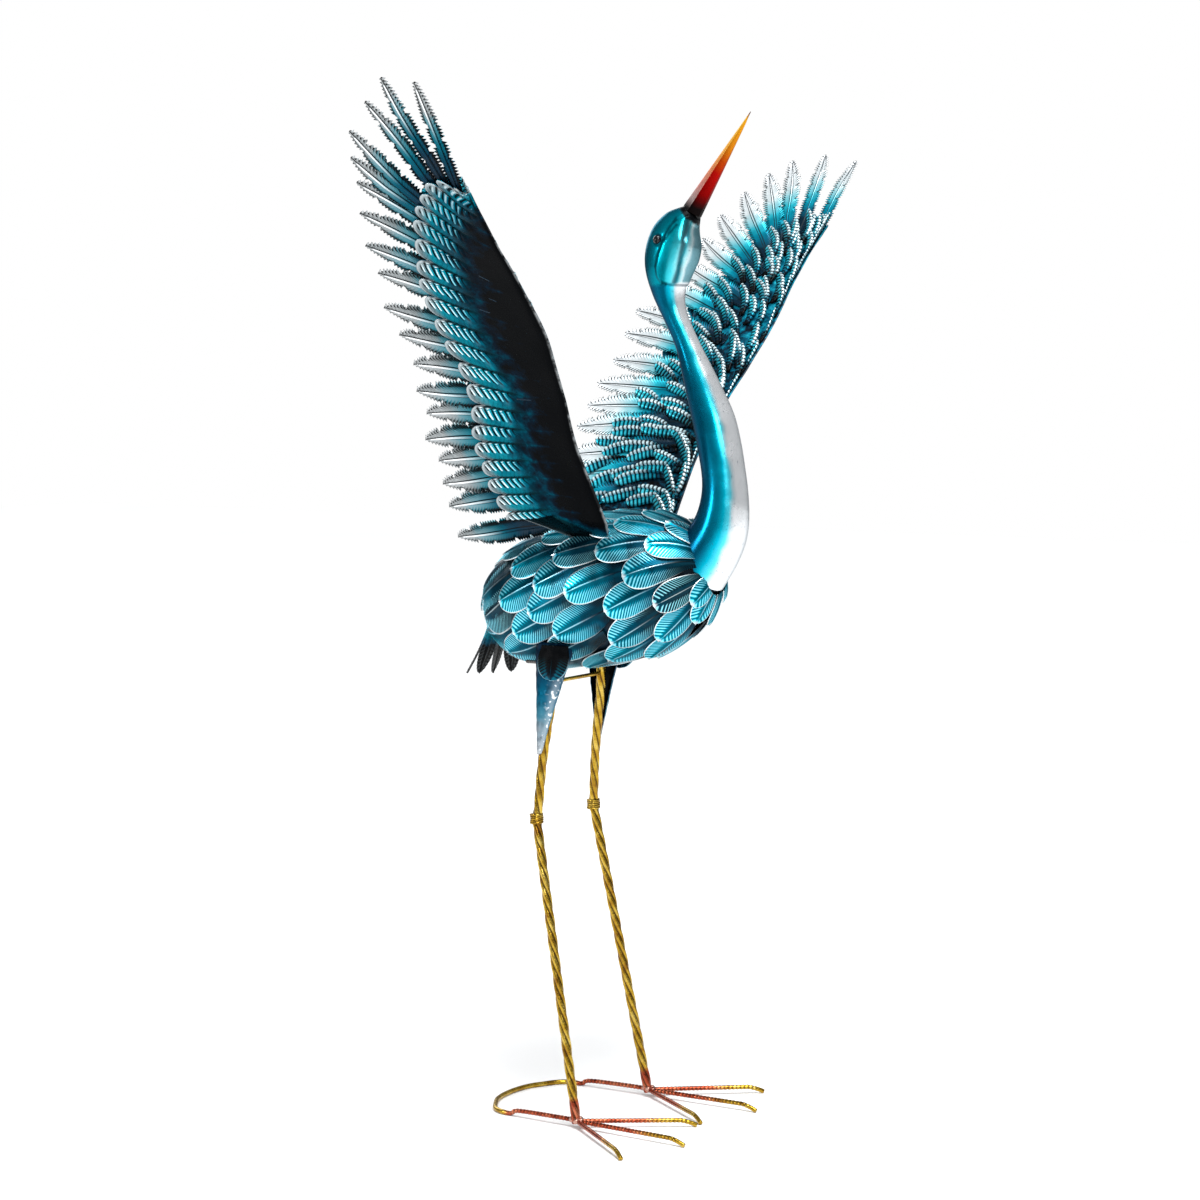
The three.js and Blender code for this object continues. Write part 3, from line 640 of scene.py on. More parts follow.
wingPlate = {
    "perFinger": 12, "frontRows": 14, "fingerRows": 60, "fingerLength": 64, "notch": 15, "fingerRise": 2.4,
    "slashPitch": 8.0, "slashDepth": 1.7, "slashSlope": 7.2, "slashWander": 1.6, "waviness": 0.9,
    "rollRise": 2.2, "rollShare": 0.12, "leadShare": 0.945, "fade": 130,
    # the plate runs on under the body as a tab
    "tabColumns": 2, "tabInner": -30, "tabFront": -26, "tabBack": 24,
    # how far each finger turns towards the wing tip, in degrees
    "turns": (-8, -6, -4, -2, 1, 4, 9, 14, 20, 22, 25, 28, 31, 35, 42, 51, 55, 57, 64, 70, 76),
}


def slashing(spot, fromTip, across):
    # raised slashes on a finger's half towards the wing tip, and finer barbs on its other half
    wander = wingPlate["slashWander"] * roughly((spot.x, spot.y, 0), 11, 5)
    slope = wingPlate["slashSlope"] * across
    slash = math.sin(fullTurn * (fromTip + slope + wander) / wingPlate["slashPitch"])
    barb = math.sin(1.5 * fullTurn * (fromTip - 4 * across) / wingPlate["slashPitch"])
    upperHalf = ease(-0.25, 0.0, across) * ease(1.0, 0.85, across)
    lowerHalf = ease(-0.15, -0.4, across) * ease(-1.0, -0.85, across)
    return slash * upperHalf + 0.3 * barb * lowerHalf


def plateShape(side):
    each, front, tab = wingPlate["perFinger"], wingPlate["frontRows"], wingPlate["tabColumns"]
    fingerLength = wingPlate["fingerLength"]
    count = len(plateTips)
    turns = [Vector((turn, 0)) for turn in wingPlate["turns"]]

    def shape(column, row):
        place = clamp(column - tab, 0, count * each)
        finger = min(int(place / each), count - 1)
        across = (place - finger * each) / each * 2 - 1
        share = clamp((finger + 0.5 * across) / (count - 1))
        start = leadingPoint(share * wingPlate["leadShare"])
        end = curvePoint(plateTips, share)
        direction = pointing(curvePoint(turns, share).x)
        notch = wingPlate["notch"] * (1 - math.sqrt(1 - abs(across) ** 2.4))
        if column < tab:
            inward = (tab - column) / tab
            start = start.lerp(Vector((wingPlate["tabInner"], wingPlate["tabFront"])), inward)
            end = end.lerp(Vector((wingPlate["tabInner"], wingPlate["tabBack"])), inward)
        fingered = min(fingerLength, 0.6 * (end - start).length)
        hinge = end - direction * fingered
        end = end - direction * notch
        if row <= front:
            spot = start.lerp(hinge, row / front)
            fromTip = fingered + (hinge - start).length * (1 - row / front)
        else:
            back = (row - front) / wingPlate["fingerRows"]
            spot = hinge.lerp(end, back)
            fromTip = lerp(fingered, notch, back)
        shown = ease(fingerLength, 0.62 * fingerLength, fromTip) if column >= tab else 0
        shown *= ease(0, 0.4 * front, row)
        crest = math.sqrt(max(0, 1 - across * across))
        slashed = shown * ease(2, 7, fromTip) * slashing(spot, fromTip, across)
        roll = 1 - clamp(row / (wingPlate["rollShare"] * front))
        lift = wingPlate["rollRise"] * roll ** 2 - wingPlate["fingerRise"] * shown * crest
        lift -= 0.5 * wingPlate["slashDepth"] * slashed
        lift += wingPlate["waviness"] * roughly((spot.x, spot.y, 0), 40, 2) * ease(0, 30, fromTip)
        values = {
            "along": 1 - clamp((fromTip - notch) / wingPlate["fade"]), "ridge": 0.5 + 0.5 * slashed,
            "rib": clamp(spot.x / wing["length"]), "edge": ease(4.5, 1, fromTip - notch),
            "tone": max(crest * shown, roll), "shade": shown * ease(0.15, -0.35, across),
        }
        return onWing(side, spot.x, spot.y, lift), values

    return count * each + tab, front + wingPlate["fingerRows"], shape


def makePlateUnderPaint():
    plate = Finish("wingPlatePaint")
    along, ridge, tone, span = (plate.mark(name) for name in ("along", "ridge", "tone", "rib"))
    cloud = plate.cloud(18, 4.0, 0.62)
    spray = along + (cloud - 0.5) * 0.6 - (span - 0.45) * 0.16
    colour = plate.ramp(spray, [
        (0.4, black), (0.5, (0.001, 0.006, 0.013)), (0.59, (0.0, 0.03, 0.052)), (0.68, (0.0, 0.09, 0.14)),
        (0.8, (0.0, 0.2, 0.27)), (0.92, (0.01, 0.28, 0.35)), (1.0, (0.1, 0.3, 0.35)),
    ])
    shown = plate.between(along, 0.45, 0.7)
    tipped = plate.mix(plate.between(along, 0.86, 0.97) * 0.9, colour, (0.2, 0.23, 0.24))
    # painted shade: each finger goes black down its sides, where its crest falls away
    sunk = plate.mix(plate.between(tone, 0.62, 0.2) * shown * 0.95, tipped, black)
    shaded = plate.mix(plate.mark("shade") * 0.35, sunk, (0.01, 0.06, 0.08))
    # painted shade in the grooves beside the raised slashes
    grooved = plate.mix(plate.between(ridge, 0.5, 0.24) * shown * 0.95, shaded, black)
    # painted highlight on the crests of the raised slashes, cyan further from the finger's tip and silver
    # near it, and fainter towards the wing tip
    slashHighlightColour = plate.mix(plate.between(along, 0.6, 0.9), (0.05, 0.5, 0.62), (0.75, 0.88, 0.92))
    slashHighlight = plate.between(ridge, 0.76, 0.94) * shown * plate.between(span, 0.62, 0.9, 1, 0.35)
    slashHighlighted = plate.mix(slashHighlight, grooved, slashHighlightColour)
    rimmed = plate.mix(plate.mark("edge") * shown * 0.4, slashHighlighted, silver)
    # painted highlight along the rolled leading edge, broken up by the cloud
    rolled = plate.between(tone, 0.6, 0.95) * (1 - shown) * plate.between(cloud, 0.4, 0.6, 0.02, 0.4)
    return plate.coat({
        "Base Color": plate.mix(rolled, rimmed, silver),
        "Metallic": plate.between(spray, 0.45, 0.75, 0.1, 0.75),
        "Roughness": plate.between(cloud, 0.3, 0.7, 0.22, 0.32),
        "Normal": plate.bump(plate.cloud(5), 0.25, 0.35),
        "Specular IOR Level": 0.02, "Specular Tint": (0.4, 0.4, 0.4, 1),
    })


def makePlateUpperPaint():
    upper = Finish("wingPlateUpperPaint")
    cloud = upper.cloud(9, 4.0, 0.62)
    return upper.coat({
        "Base Color": upper.ramp(cloud + (upper.mark("rib") - 0.5) * 0.2, [
            (0.3, black), (0.42, navy), (0.52, deepTeal), (0.64, teal), (0.75, cyan),
        ]),
        "Metallic": 0.4, "Specular IOR Level": 0.15, "Roughness": upper.between(cloud, 0.3, 0.7, 0.3, 0.45),
        "Normal": upper.bump(upper.cloud(3), 0.4, 0.6),
    })


def makeWingPlates():
    def draw(bm, side, word):
        addGrid(bm, *plateShape(side))

    makePair("wing_plate_sheet", ["wing_plate"], makePlateUpperPaint(), draw, mirrored=True, sheet=0.9,
             underside=makePlateUnderPaint())


# Long feathers, a fan of them under each wing plate
longFeather = {
    "length": 140, "rows": 76, "slant": 0.9, "rootWidth": 0.5, "widest": 0.35, "tipPower": 1.0,
    "tooth": 4.2, "toothFrom": 0.25, "bites": (22, 43, 64, 86), "relief": 1.5, "ribEdge": 0.06,
    "ribGroove": 0.13, "rib": -1.1, "crown": -1.3, "rimRise": 0, "lift": 2.6, "shingle": 0.05, "trim": 3.4,
    # the whole fan turns from the body's side to the wing tip, in degrees
    "innerAngle": -12, "sweep": 107, "sweepPower": 1.8,
}
fans = {
    # half widths from the root of the wing to its tip
    "left": {
        "widths": (13, 13.5, 13.5, 12.5, 12, 10.5, 7.5), "roundFrom": 0.74, "tipRound": 0.52,
        "biteDepth": 3.2,
    },
    "right": {
        "widths": (14.5, 15.5, 16, 16, 15, 11.5, 7), "roundFrom": 0.71, "tipRound": 0.56,
        "biteDepth": 6.5,
    },
}
longTips = {
    "right": (
        (-37, 170.2), (8, 161), (40, 155), (69, 149), (98, 153), (133, 136), (165, 133), (199, 122),
        (240, 119), (277, 119), (325, 100), (363, 94), (405, 78), (446, 58), (476, 49), (507, 37),
        (542, 1), (567, -30), (561, -65),
    ),
    "left": (
        (-37, 170.2), (3, 158), (37, 150), (71, 134), (110, 130), (139, 127), (170, 126), (206, 120),
        (247, 121), (283, 121), (326, 109), (366, 97), (406, 86), (448, 80), (485, 62), (517, 41),
        (539, 17), (550, -22), (539, -66),
    ),
}


def addLongFeather(bm, side, word, tip, share, chance):
    swept = longFeather["sweep"] * share ** longFeather["sweepPower"]
    direction = pointing(longFeather["innerAngle"] + swept)
    aside = Vector((direction.y, -direction.x))
    feather = {**longFeather, **fans[word]}
    feather["halfWidth"] = curvePoint([Vector((width, 0)) for width in feather["widths"]], share).x
    feather["bites"] = [place + chance.uniform(-4, 4) for place in longFeather["bites"]]
    end = Vector(tip) - direction * longFeather["trim"] * ease(480, 530, tip[0])
    bend = chance.uniform(-2.5, 2.5)
    tipLift = chance.uniform(-1.2, 1.2)

    def spot(along, across, lift):
        back = longFeather["length"] - along
        curve = bend * math.sin(math.pi * clamp(back / 90))
        point = end - direction * back + aside * (across + curve)
        rise = longFeather["lift"] + lift + longFeather["shingle"] * across
        return onWing(side, point.x, point.y, rise + tipLift * ease(90, 0, back))

    addFeather(bm, feather, spot, chance.uniform(-0.5, 0.5))


def makeLongFeathers():
    chance = random.Random(7)

    def draw(bm, side, word):
        tips = longTips[word]
        for i, tip in enumerate(tips):
            addLongFeather(bm, side, word, tip, i / (len(tips) - 1), chance)

    makePair("long_feather_fan", ["long_feathers"], longFeatherTopPaint, draw, mirrored=True, sheet=0.8,
             underside=longFeatherUnderPaint)


# Short feathers on the upper side. Each is a ribbed leaf whose side towards the wing tip is rolled
# up into a ribbed band that stands on the sheet
covert = {
    "length": 56, "rib": 4.7, "relief": 1.35, "bend": 6.5, "rootLift": 1.6, "tipRise": 6, "turnJitter": 10,
    # across the leaf: sideways, height, and whether it is the rolled band
    "profile": (
        (-7.5, 0.2, 0), (-5, 0.9, 0), (-2.6, 0.8, 0), (-0.3, 0.2, 0), (-0.1, 2.2, 1), (0.6, 3.4, 1),
        (2.0, 3.4, 1), (2.8, 2.2, 1), (3.0, 0.3, 0.3),
    ),
    "bandMiddle": (1.3, 1.2),
    # how far back on the plate each row's tips lie, and how many feathers it has
    "rows": (
        (1.0, 13), (0.88, 12), (0.76, 12), (0.64, 12), (0.52, 11), (0.4, 11), (0.28, 10), (0.16, 10),
        (0.05, 10),
    ),
    # how far a feather turns towards the wing tip, by its place along the span
    "turns": ((0, -25), (60, -20), (110, 8), (150, 28), (208, 42), (290, 52), (350, 57), (456, 64)),
    "edgeTurn": 86, "edgeReach": 78, "inset": {"left": 2, "right": 7},
}


def addCovert(bm, tip, direction, size, side, inset, tone):
    aside = Vector((direction.y, -direction.x))
    length = covert["length"] * size["length"]
    rows = 2 * round(length / covert["rib"])
    last = len(covert["profile"]) - 1

    def shape(column, row):
        share = row / rows
        rounded = math.sqrt(max(0, 1 - clamp((share - 0.72) / 0.28) ** 2.2))
        width = size["width"] * lerp(0.75, 1, ease(0, 0.45, share)) * rounded
        across, up, band = covert["profile"][column]
        away = Vector((0, 1 if 0 < column < last else 0))
        if band > 0.5:
            away = (Vector((across, up)) - Vector(covert["bandMiddle"])).normalized()
        raised = row % 2
        across, up = (Vector((across, up)) + away * covert["relief"] * (raised - 0.5)) * width
        curve = covert["bend"] * size["bend"] * math.sin(math.pi * 0.9 * share)
        point = tip - direction * length * (1 - share) + aside * (across + curve)
        limit = leadingPoint(clamp(point.x / leadingEdge[-1][0])).y + inset
        tilt = 0.15 + 0.85 * clamp((across / size["width"] + 8) / 9)
        rise = covert["tipRise"] * size["rise"] * share ** 1.3 * tilt
        values = {
            "along": share, "ridge": raised, "rib": band * ease(0.1, 0.5, share), "tone": tone,
            "edge": 1 if share > 0.97 else 0,
        }
        return onWing(side, point.x, max(point.y, limit), covert["rootLift"] + rise + up), values

    addGrid(bm, last, rows, shape)


def covertTurn(x):
    for (fromX, fromTurn), (toX, toTurn) in zip(covert["turns"], covert["turns"][1:]):
        if x < toX:
            return lerp(fromTurn, toTurn, clamp((x - fromX) / (toX - fromX)))
    return toTurn


def drawCoverts(bm, side, word):
    chance = random.Random(11)
    for k, (reach, count) in enumerate(covert["rows"]):
        for i in range(count):
            share = clamp((i + 0.5 * (k % 2) + 0.3) / count + chance.uniform(-0.02, 0.02), 0.01, 0.985)
            front = leadingPoint(share)
            tip = front.lerp(curvePoint(plateTips, share), reach + chance.uniform(-0.04, 0.04))
            edgewise = ease(covert["edgeReach"], 10, tip.y - front.y)
            angle = lerp(covertTurn(tip.x), covert["edgeTurn"], edgewise)
            angle += chance.uniform(-1, 1) * covert["turnJitter"]
            size = {
                "length": chance.uniform(0.88, 1.1) * lerp(1, 0.82, share),
                "width": chance.uniform(0.9, 1.1) * lerp(1.05, 0.88, share),
                "bend": chance.uniform(0.4, 1.3), "rise": chance.uniform(0.5, 1.3),
            }
            tone = chance.uniform(-0.5, 0.5)
            addCovert(bm, tip, pointing(angle), size, side, covert["inset"][word], tone)


def makeCoverts():
    nodes = [f"covert_feathers_{row}" for row in range(1, 4)]
    makePair("covert_feather_rows", nodes, covertPaint, drawCoverts, mirrored=True, sheet=0.8)


# Tail, narrow feathers that hang behind the rump, each turned its own way
tailFeather = {
    "length": 74, "rows": 36, "slant": 0.6, "rootWidth": 0.8, "widest": 0.4, "roundFrom": 0.6,
    "tipPower": 2.0, "tipRound": 0.6, "tooth": 0.5, "toothFrom": 0.2, "relief": 0.5, "crown": 1.0,
    "rimRise": 0.3, "rootY": 143, "rootZ": 534, "rootSpread": 0.45, "tipY": 162, "bow": 2.5,
    # x and z of the tip, the turn about the upright, and half the width
    "places": ((-40, 469, -32, 10), (-16, 466, 26, 9), (10, 464, -8, 11), (47, 462, 36, 10)),
}


def makeTail():
    for i, (x, z, turn, halfWidth) in enumerate(tailFeather["places"]):
        root = Vector((tailFeather["rootSpread"] * x, tailFeather["rootY"], tailFeather["rootZ"]))
        tip = Vector((x, tailFeather["tipY"], z))
        angle = math.radians(turn)
        across = Vector((math.cos(angle), -math.sin(angle), 0))
        out = (tip - root).cross(across).normalized()
        feather = {**tailFeather, "length": (tip - root).length, "halfWidth": halfWidth}
        bm = newMesh()

        def spot(along, beside, lift):
            share = along / feather["length"]
            bowed = lift + tailFeather["bow"] * math.sin(math.pi * share)
            return root.lerp(tip, share) + across * beside + out * bowed

        addFeather(bm, feather, spot, 0.2 * (i % 2))
        finishPiece(f"tail_feather_{i + 1}_leaf", bm, tailPaint, [f"tail_feather_{i + 1}"], sheet=0.8)


# Neck and head, one skin swept up an S curve, with a cheek that stands out from it
eye = {"x": 18.6, "y": -64, "z": 928, "radius": 4.8}
neck = {
    "rows": 250, "around": 96, "cheekRise": 2.0, "headFrom": 850, "headingReach": 0.035,
    # middle y, middle z, half depth, half width
    "stations": (
        (-101, 588, 34, 31), (-118.5, 612, 32, 30), (-128.5, 631, 29.6, 28), (-133, 651, 26.4, 25.5),
        (-134, 672, 23.8, 23.5), (-132, 692, 22.7, 22.7), (-127.5, 716, 22.7, 22.7), (-121, 742, 22, 22),
        (-111, 768, 19.3, 19.3), (-100, 795, 15.8, 15.8), (-88.5, 822, 12.4, 12.4), (-74, 852, 12.9, 12.5),
        (-67, 876, 18.4, 16), (-66.5, 897.5, 26, 19.5), (-70, 914.5, 29.4, 20.5), (-75.5, 931, 27.8, 20),
        (-82, 943, 21.5, 17), (-89, 951, 14, 13), (-94, 956, 9.6, 9.4),
    ),
    # lines on the head, as y and z seen from the side: the step round the cheek, the dark line from
    # the bill down the cheek, and the raised loop in front of the eye
    "step": (
        (-84, 950), (-82, 946), (-74, 932), (-67.6, 916.5), (-62.5, 900.7), (-63.5, 890), (-67.8, 884),
        (-78, 881.5), (-95, 881),
    ),
    "front": ((-125, 881), (-125, 960), (-95, 960)),
    "crease": ((-95, 948), (-92, 923), (-85.7, 897.6), (-80, 884)),
    "loop": ((-85.7, 948), (-78, 941), (-72.5, 931), (-74, 927), (-79, 934), (-86, 943)),
}
neckLine = [(y, z) for y, z, deep, wide in neck["stations"]]
neckGirth = [(deep, wide) for y, z, deep, wide in neck["stations"]]


def nearestOn(line, y, z):  # distance from a place seen from the side to a line of points
    best = 1e9
    for (ay, az), (by, bz) in zip(line, line[1:]):
        dy, dz = by - ay, bz - az
        share = clamp(((y - ay) * dy + (z - az) * dz) / (dy * dy + dz * dz))
        best = min(best, math.hypot(y - ay - share * dy, z - az - share * dz))
    return best


def inCheek(y, z):
    corners = neck["step"] + neck["front"]
    inside = False
    for (ay, az), (by, bz) in zip(corners, corners[1:] + corners[:1]):
        if (az > z) != (bz > z) and y < ay + (z - az) * (by - ay) / (bz - az):
            inside = not inside
    return inside


def neckShape(column, row):
    u = row / neck["rows"]
    y, z = curvePoint(neckLine, u)
    deep, wide = curvePoint(neckGirth, u)
    before = curvePoint(neckLine, max(u - neck["headingReach"], 0))
    heading = (curvePoint(neckLine, min(u + neck["headingReach"], 1)) - before).normalized()
    throatwards = Vector((0, -heading.y, heading.x))
    turn = fullTurn * column / neck["around"]
    across, ahead = math.sin(turn), math.cos(turn)
    outward = Vector((across * wide, 0, 0)) + throatwards * ahead * deep
    point = Vector((0, y, z)) + outward
    crease = loop = outline = 0.0
    if z > neck["headFrom"]:
        seenY, seenZ = point.y, point.z
        outside = outward.normalized()
        toStep = nearestOn(neck["step"], seenY, seenZ)
        swell = 0.5 + 0.5 * ease(0, 1.3, toStep) * (1 if inCheek(seenY, seenZ) else -1)
        point = point + outside * neck["cheekRise"] * swell * ease(962, 948, seenZ)
        outline = 1 - ease(0.4, 2.2, toStep)
        if abs(point.x) > 4:
            crease = 1 - ease(0.6, 3.4, nearestOn(neck["crease"], seenY, seenZ))
            loop = 1 - ease(0.5, 1.8, nearestOn(neck["loop"], seenY, seenZ))
        socket = math.hypot(seenY - eye["y"], seenZ - eye["z"]) - eye["radius"]
        loop = max(loop, 1 - ease(0.4, 2.0, abs(socket - 0.4)))
        point = point - outside * (0.7 * crease + 0.6 * loop)
    values = {
        "along": u, "ridge": max(crease, 0.9 * loop, 0.9 * outline), "rib": 0.5 + 0.5 * ahead,
        "tone": ease(880, 884, z),
    }
    return point, values


def makeNeckPaint():
    paint = Finish("neckPaint")
    front, along, cloud = paint.mark("rib"), paint.mark("along"), paint.cloud(24, 2.0)
    spray = front + (cloud - 0.5) * 0.12
    skin = paint.ramp(spray, [
        (0.1, (0.0, 0.05, 0.1)), (0.42, (0.0, 0.11, 0.19)), (0.62, (0.0, 0.22, 0.34)),
        (0.74, (0.0, 0.4, 0.55)), (0.83, (0.08, 0.58, 0.7)), (0.88, (0.55, 0.66, 0.7)),
        (0.92, (0.8, 0.82, 0.84)), (1.0, (0.88, 0.9, 0.92)),
    ])
    # the head's teal and silver paint, with a painted highlight streak on the cheek, a painted shade streak
    # beside it and painted shade at the front
    head = paint.ramp(spray, [
        (0.15, (0.0, 0.13, 0.19)), (0.45, (0.0, 0.27, 0.35)), (0.62, (0.0, 0.37, 0.45)),
        (0.74, (0.05, 0.5, 0.58)), (0.82, (0.22, 0.6, 0.66)), (0.87, (0.03, 0.36, 0.44)),
        (0.905, (0.28, 0.56, 0.61)), (0.94, (0.46, 0.6, 0.63)), (0.97, (0.15, 0.31, 0.36)),
        (1.0, (0.12, 0.26, 0.3)),
    ])
    sprayed = paint.mix(paint.mark("tone"), skin, head)
    specks = paint.between(paint.cloud(2.6, 2.0), 0.66, 0.74) * paint.between(front, 0.4, 0.8) * 0.6
    speckled = paint.mix(specks, sprayed, (0.03, 0.1, 0.14))
    # painted shade along the crease down the cheek, the cheek's step, the raised loop and the eye's socket
    lined = paint.mix(paint.mark("ridge") * 0.85, speckled, (0.0, 0.03, 0.05))
    end = along + (paint.cloud(6) - 0.5) * 0.03
    tipped = paint.mix(paint.between(end, 0.945, 0.97), lined, black)
    base = paint.between(along, 0.16, 0.02) * paint.between(front, 0.85, 0.5) * 0.85
    return paint.coat({
        "Base Color": paint.mix(base, tipped, (0.0, 0.04, 0.09)),
        "Metallic": paint.between(end, 0.945, 0.97, 0.8, 0.1),
        "Roughness": paint.between(cloud, 0.3, 0.7, 0.2, 0.28),
        "Normal": paint.bump(paint.cloud(9), 0.4, 0.3),
        "Specular IOR Level": 0.2, "Specular Tint": (0.35, 0.4, 0.42, 1),
    })


def makeNeckAndHead():
    bm = newMesh()
    addGrid(bm, neck["around"], neck["rows"], neckShape)
    closeSkin(bm)
    finishPiece("neck_and_head_skin", bm, makeNeckPaint(), ["neck_and_head"])


def drawEye(bm, side, word):
    bmesh.ops.create_uvsphere(bm, u_segments=28, v_segments=18, radius=eye["radius"] * millimetre)
    bmesh.ops.scale(bm, vec=(0.9, 1, 1), verts=bm.verts)
    middle = inFrame(onSide(side, (eye["x"], eye["y"], eye["z"])))
    bmesh.ops.translate(bm, vec=middle, verts=bm.verts)


def makeEyes():
    bead = Finish("eyeBead")
    eyeBead = bead.coat({
        "Base Color": bead.ramp(bead.cloud(3), [(0.3, (0.002, 0.002, 0.003)), (0.8, (0.01, 0.012, 0.014))]),
        "Roughness": 0.1, "Specular IOR Level": 0.3,
    })
    makePair("eye_bead", ["eye"], eyeBead, drawEye)


# Bill, a folded cone with flat sides, whose upper edge runs past the lower one
bill = {
    "baseY": -94.4, "baseZ": 956.6, "tipY": -162.2, "tipZ": 1054.6, "deep": 11.5, "wide": 9.5,
    "jawEnd": 0.9, "rows": 40, "fold": 0.05,
    # corners across and up from the middle, as shares of the half width and depth
    "corners": ((0.22, 0.97), (0.92, 0.1), (0.3, -0.95), (-0.3, -0.95), (-0.92, 0.1), (-0.22, 0.97)),
}


def billShape(column, row):
    u = row / bill["rows"]
    base = Vector((0, bill["baseY"], bill["baseZ"]))
    tip = Vector((0, bill["tipY"], bill["tipZ"]))
    heading = (tip - base).normalized()
    upper = Vector((0, heading.z, -heading.y))
    corners = bill["corners"]
    corner, after = divmod(column % (2 * len(corners)), 2)
    neighbour = (corner + (1 if after else -1)) % len(corners)
    across, up = Vector(corners[corner]).lerp(Vector(corners[neighbour]), bill["fold"])
    onBack = 1 if max(corners[corner][1], corners[neighbour][1]) > 0.9 else 0
    taper = 1 - 0.95 * u
    pastJaw = clamp((u - bill["jawEnd"]) / (1 - bill["jawEnd"]))
    lift = 0 if up > 0 else pastJaw * bill["deep"] * taper * 0.75
    point = base.lerp(tip, u) + upper * (up * bill["deep"] * taper + lift)
    point.x += across * bill["wide"] * taper
    return point, {"along": u, "rib": onBack, "edge": pastJaw if up <= 0 else 0}


def makeBillPaint():
    paint = Finish("billPaint")
    along = paint.mark("along") + (paint.cloud(14) - 0.5) * 0.06
    side = paint.ramp(along, [
        (0.06, (0.003, 0.002, 0.002)), (0.11, (0.04, 0.001, 0.001)), (0.18, (0.17, 0.0, 0.0)),
        (0.4, (0.3, 0.002, 0.001)), (0.52, (0.36, 0.04, 0.001)), (0.66, (0.48, 0.15, 0.004)),
        (0.93, (0.62, 0.28, 0.01)), (0.98, (0.14, 0.03, 0.01)),
    ])
    # painted highlight: the upper facets along the bill's ridge take a lighter copy of the sides' colours
    back = paint.ramp(along, [
        (0.03, (0.01, 0.01, 0.01)), (0.1, (0.32, 0.24, 0.23)), (0.25, (0.5, 0.2, 0.17)),
        (0.42, (0.6, 0.2, 0.08)), (0.6, (0.75, 0.36, 0.06)), (0.93, (0.8, 0.48, 0.05)),
        (0.98, (0.14, 0.03, 0.01)),
    ])
    colour = paint.mix(paint.between(paint.mark("rib"), 0.45, 0.55), side, back)
    return paint.coat({
        # painted shade in the slit past the end of the lower jaw
        "Base Color": paint.mix(paint.mark("edge"), colour, (0.03, 0.006, 0.003)),
        "Metallic": 0.5, "Roughness": paint.between(paint.cloud(5), 0.3, 0.7, 0.24, 0.34),
        "Normal": paint.bump(paint.cloud(7), 0.2, 0.3),
        "Specular IOR Level": 0.15, "Specular Tint": (0.4, 0.3, 0.3, 1),
    })


def makeBill():
    bm = newMesh()
    addGrid(bm, 2 * len(bill["corners"]), bill["rows"], billShape)
    closeSkin(bm)
    finishPiece("bill_fold", bm, makeBillPaint(), ["bill"], sharp=28)


# Legs, square bars twisted about their length, with their corners rolled round
leg = {
    "path": ((45.4, 41.5, 505), (45.6, 44.3, 467.5), (49, 46.6, 447), (51, 51.7, 413), (53.3, 56.3, 376),
             (55.3, 59.3, 334), (56.8, 60.8, 321.5)),
    "ankle": (73.6, 0.3, 5), "bends": 60, "rows": 220, "around": 32, "inner": 3.7, "lobe": 1.5,
    "lead": 88,
}


def brassFinish(name, grooveShade):
    brass = Finish(name)
    cloud = brass.cloud(12, 3.0)
    fine = brass.cloud(2.2, 3.0)
    # painted shade where the ridge mark is low: in the hollows of the twisted bars and between the spiral
    # ribs of the rods; the knee wire, whose ridge mark stays low, comes out darker all along
    groove = brass.between(brass.mark("ridge"), 0.62, 0.14)
    gold = brass.ramp(cloud, [
        (0.3, (0.24, 0.11, 0.008)), (0.5, (0.42, 0.26, 0.022)), (0.7, (0.6, 0.43, 0.09)),
    ])
    copper = brass.ramp(cloud, [
        (0.3, (0.16, 0.02, 0.008)), (0.5, (0.34, 0.06, 0.025)), (0.72, (0.5, 0.16, 0.08)),
    ])
    colour = brass.mix(brass.between(brass.mark("tone"), 0.25, 0.75), gold, copper)
    grooveShaded = brass.mix(groove * grooveShade, colour, (0.035, 0.012, 0.004))
    return brass.coat({
        "Base Color": grooveShaded, "Metallic": 0.9,
        "Roughness": brass.between(fine, 0.3, 0.7, 0.18, 0.34),
        "Normal": brass.bump(fine, 0.15, 0.5),
    })


goldFinish = brassFinish("goldFinish", 0.95)
rodFinish = brassFinish("rodFinish", 0.8)


def legPath(side):
    bends = leg["bends"]
    upper = [onSide(side, curvePoint(leg["path"], i / bends)) for i in range(bends + 1)]
    return evenPath(upper + [onSide(side, leg["ankle"])], leg["rows"], smooth=False)


def drawLeg(bm, side, word):
    path = legPath(side)
    length = pathLength(path)

    def section(share, turn):
        twisted = turn + fullTurn * share * length / leg["lead"]
        lobe = abs(math.cos(2 * twisted))
        coppered = ease(length - 40, length - 12, share * length)
        return leg["inner"] + leg["lobe"] * lobe ** 0.8, {"ridge": lobe, "tone": coppered}

    addTube(bm, path, leg["around"], section)


def makeLegs():
    makePair("leg_bar", ["leg"], goldFinish, drawLeg)


# Knees, wrapped round with wire
kneeWrap = {"turns": 5, "perTurn": 20, "wire": 1.45, "around": 8, "radius": 6.0, "height": 13.2}


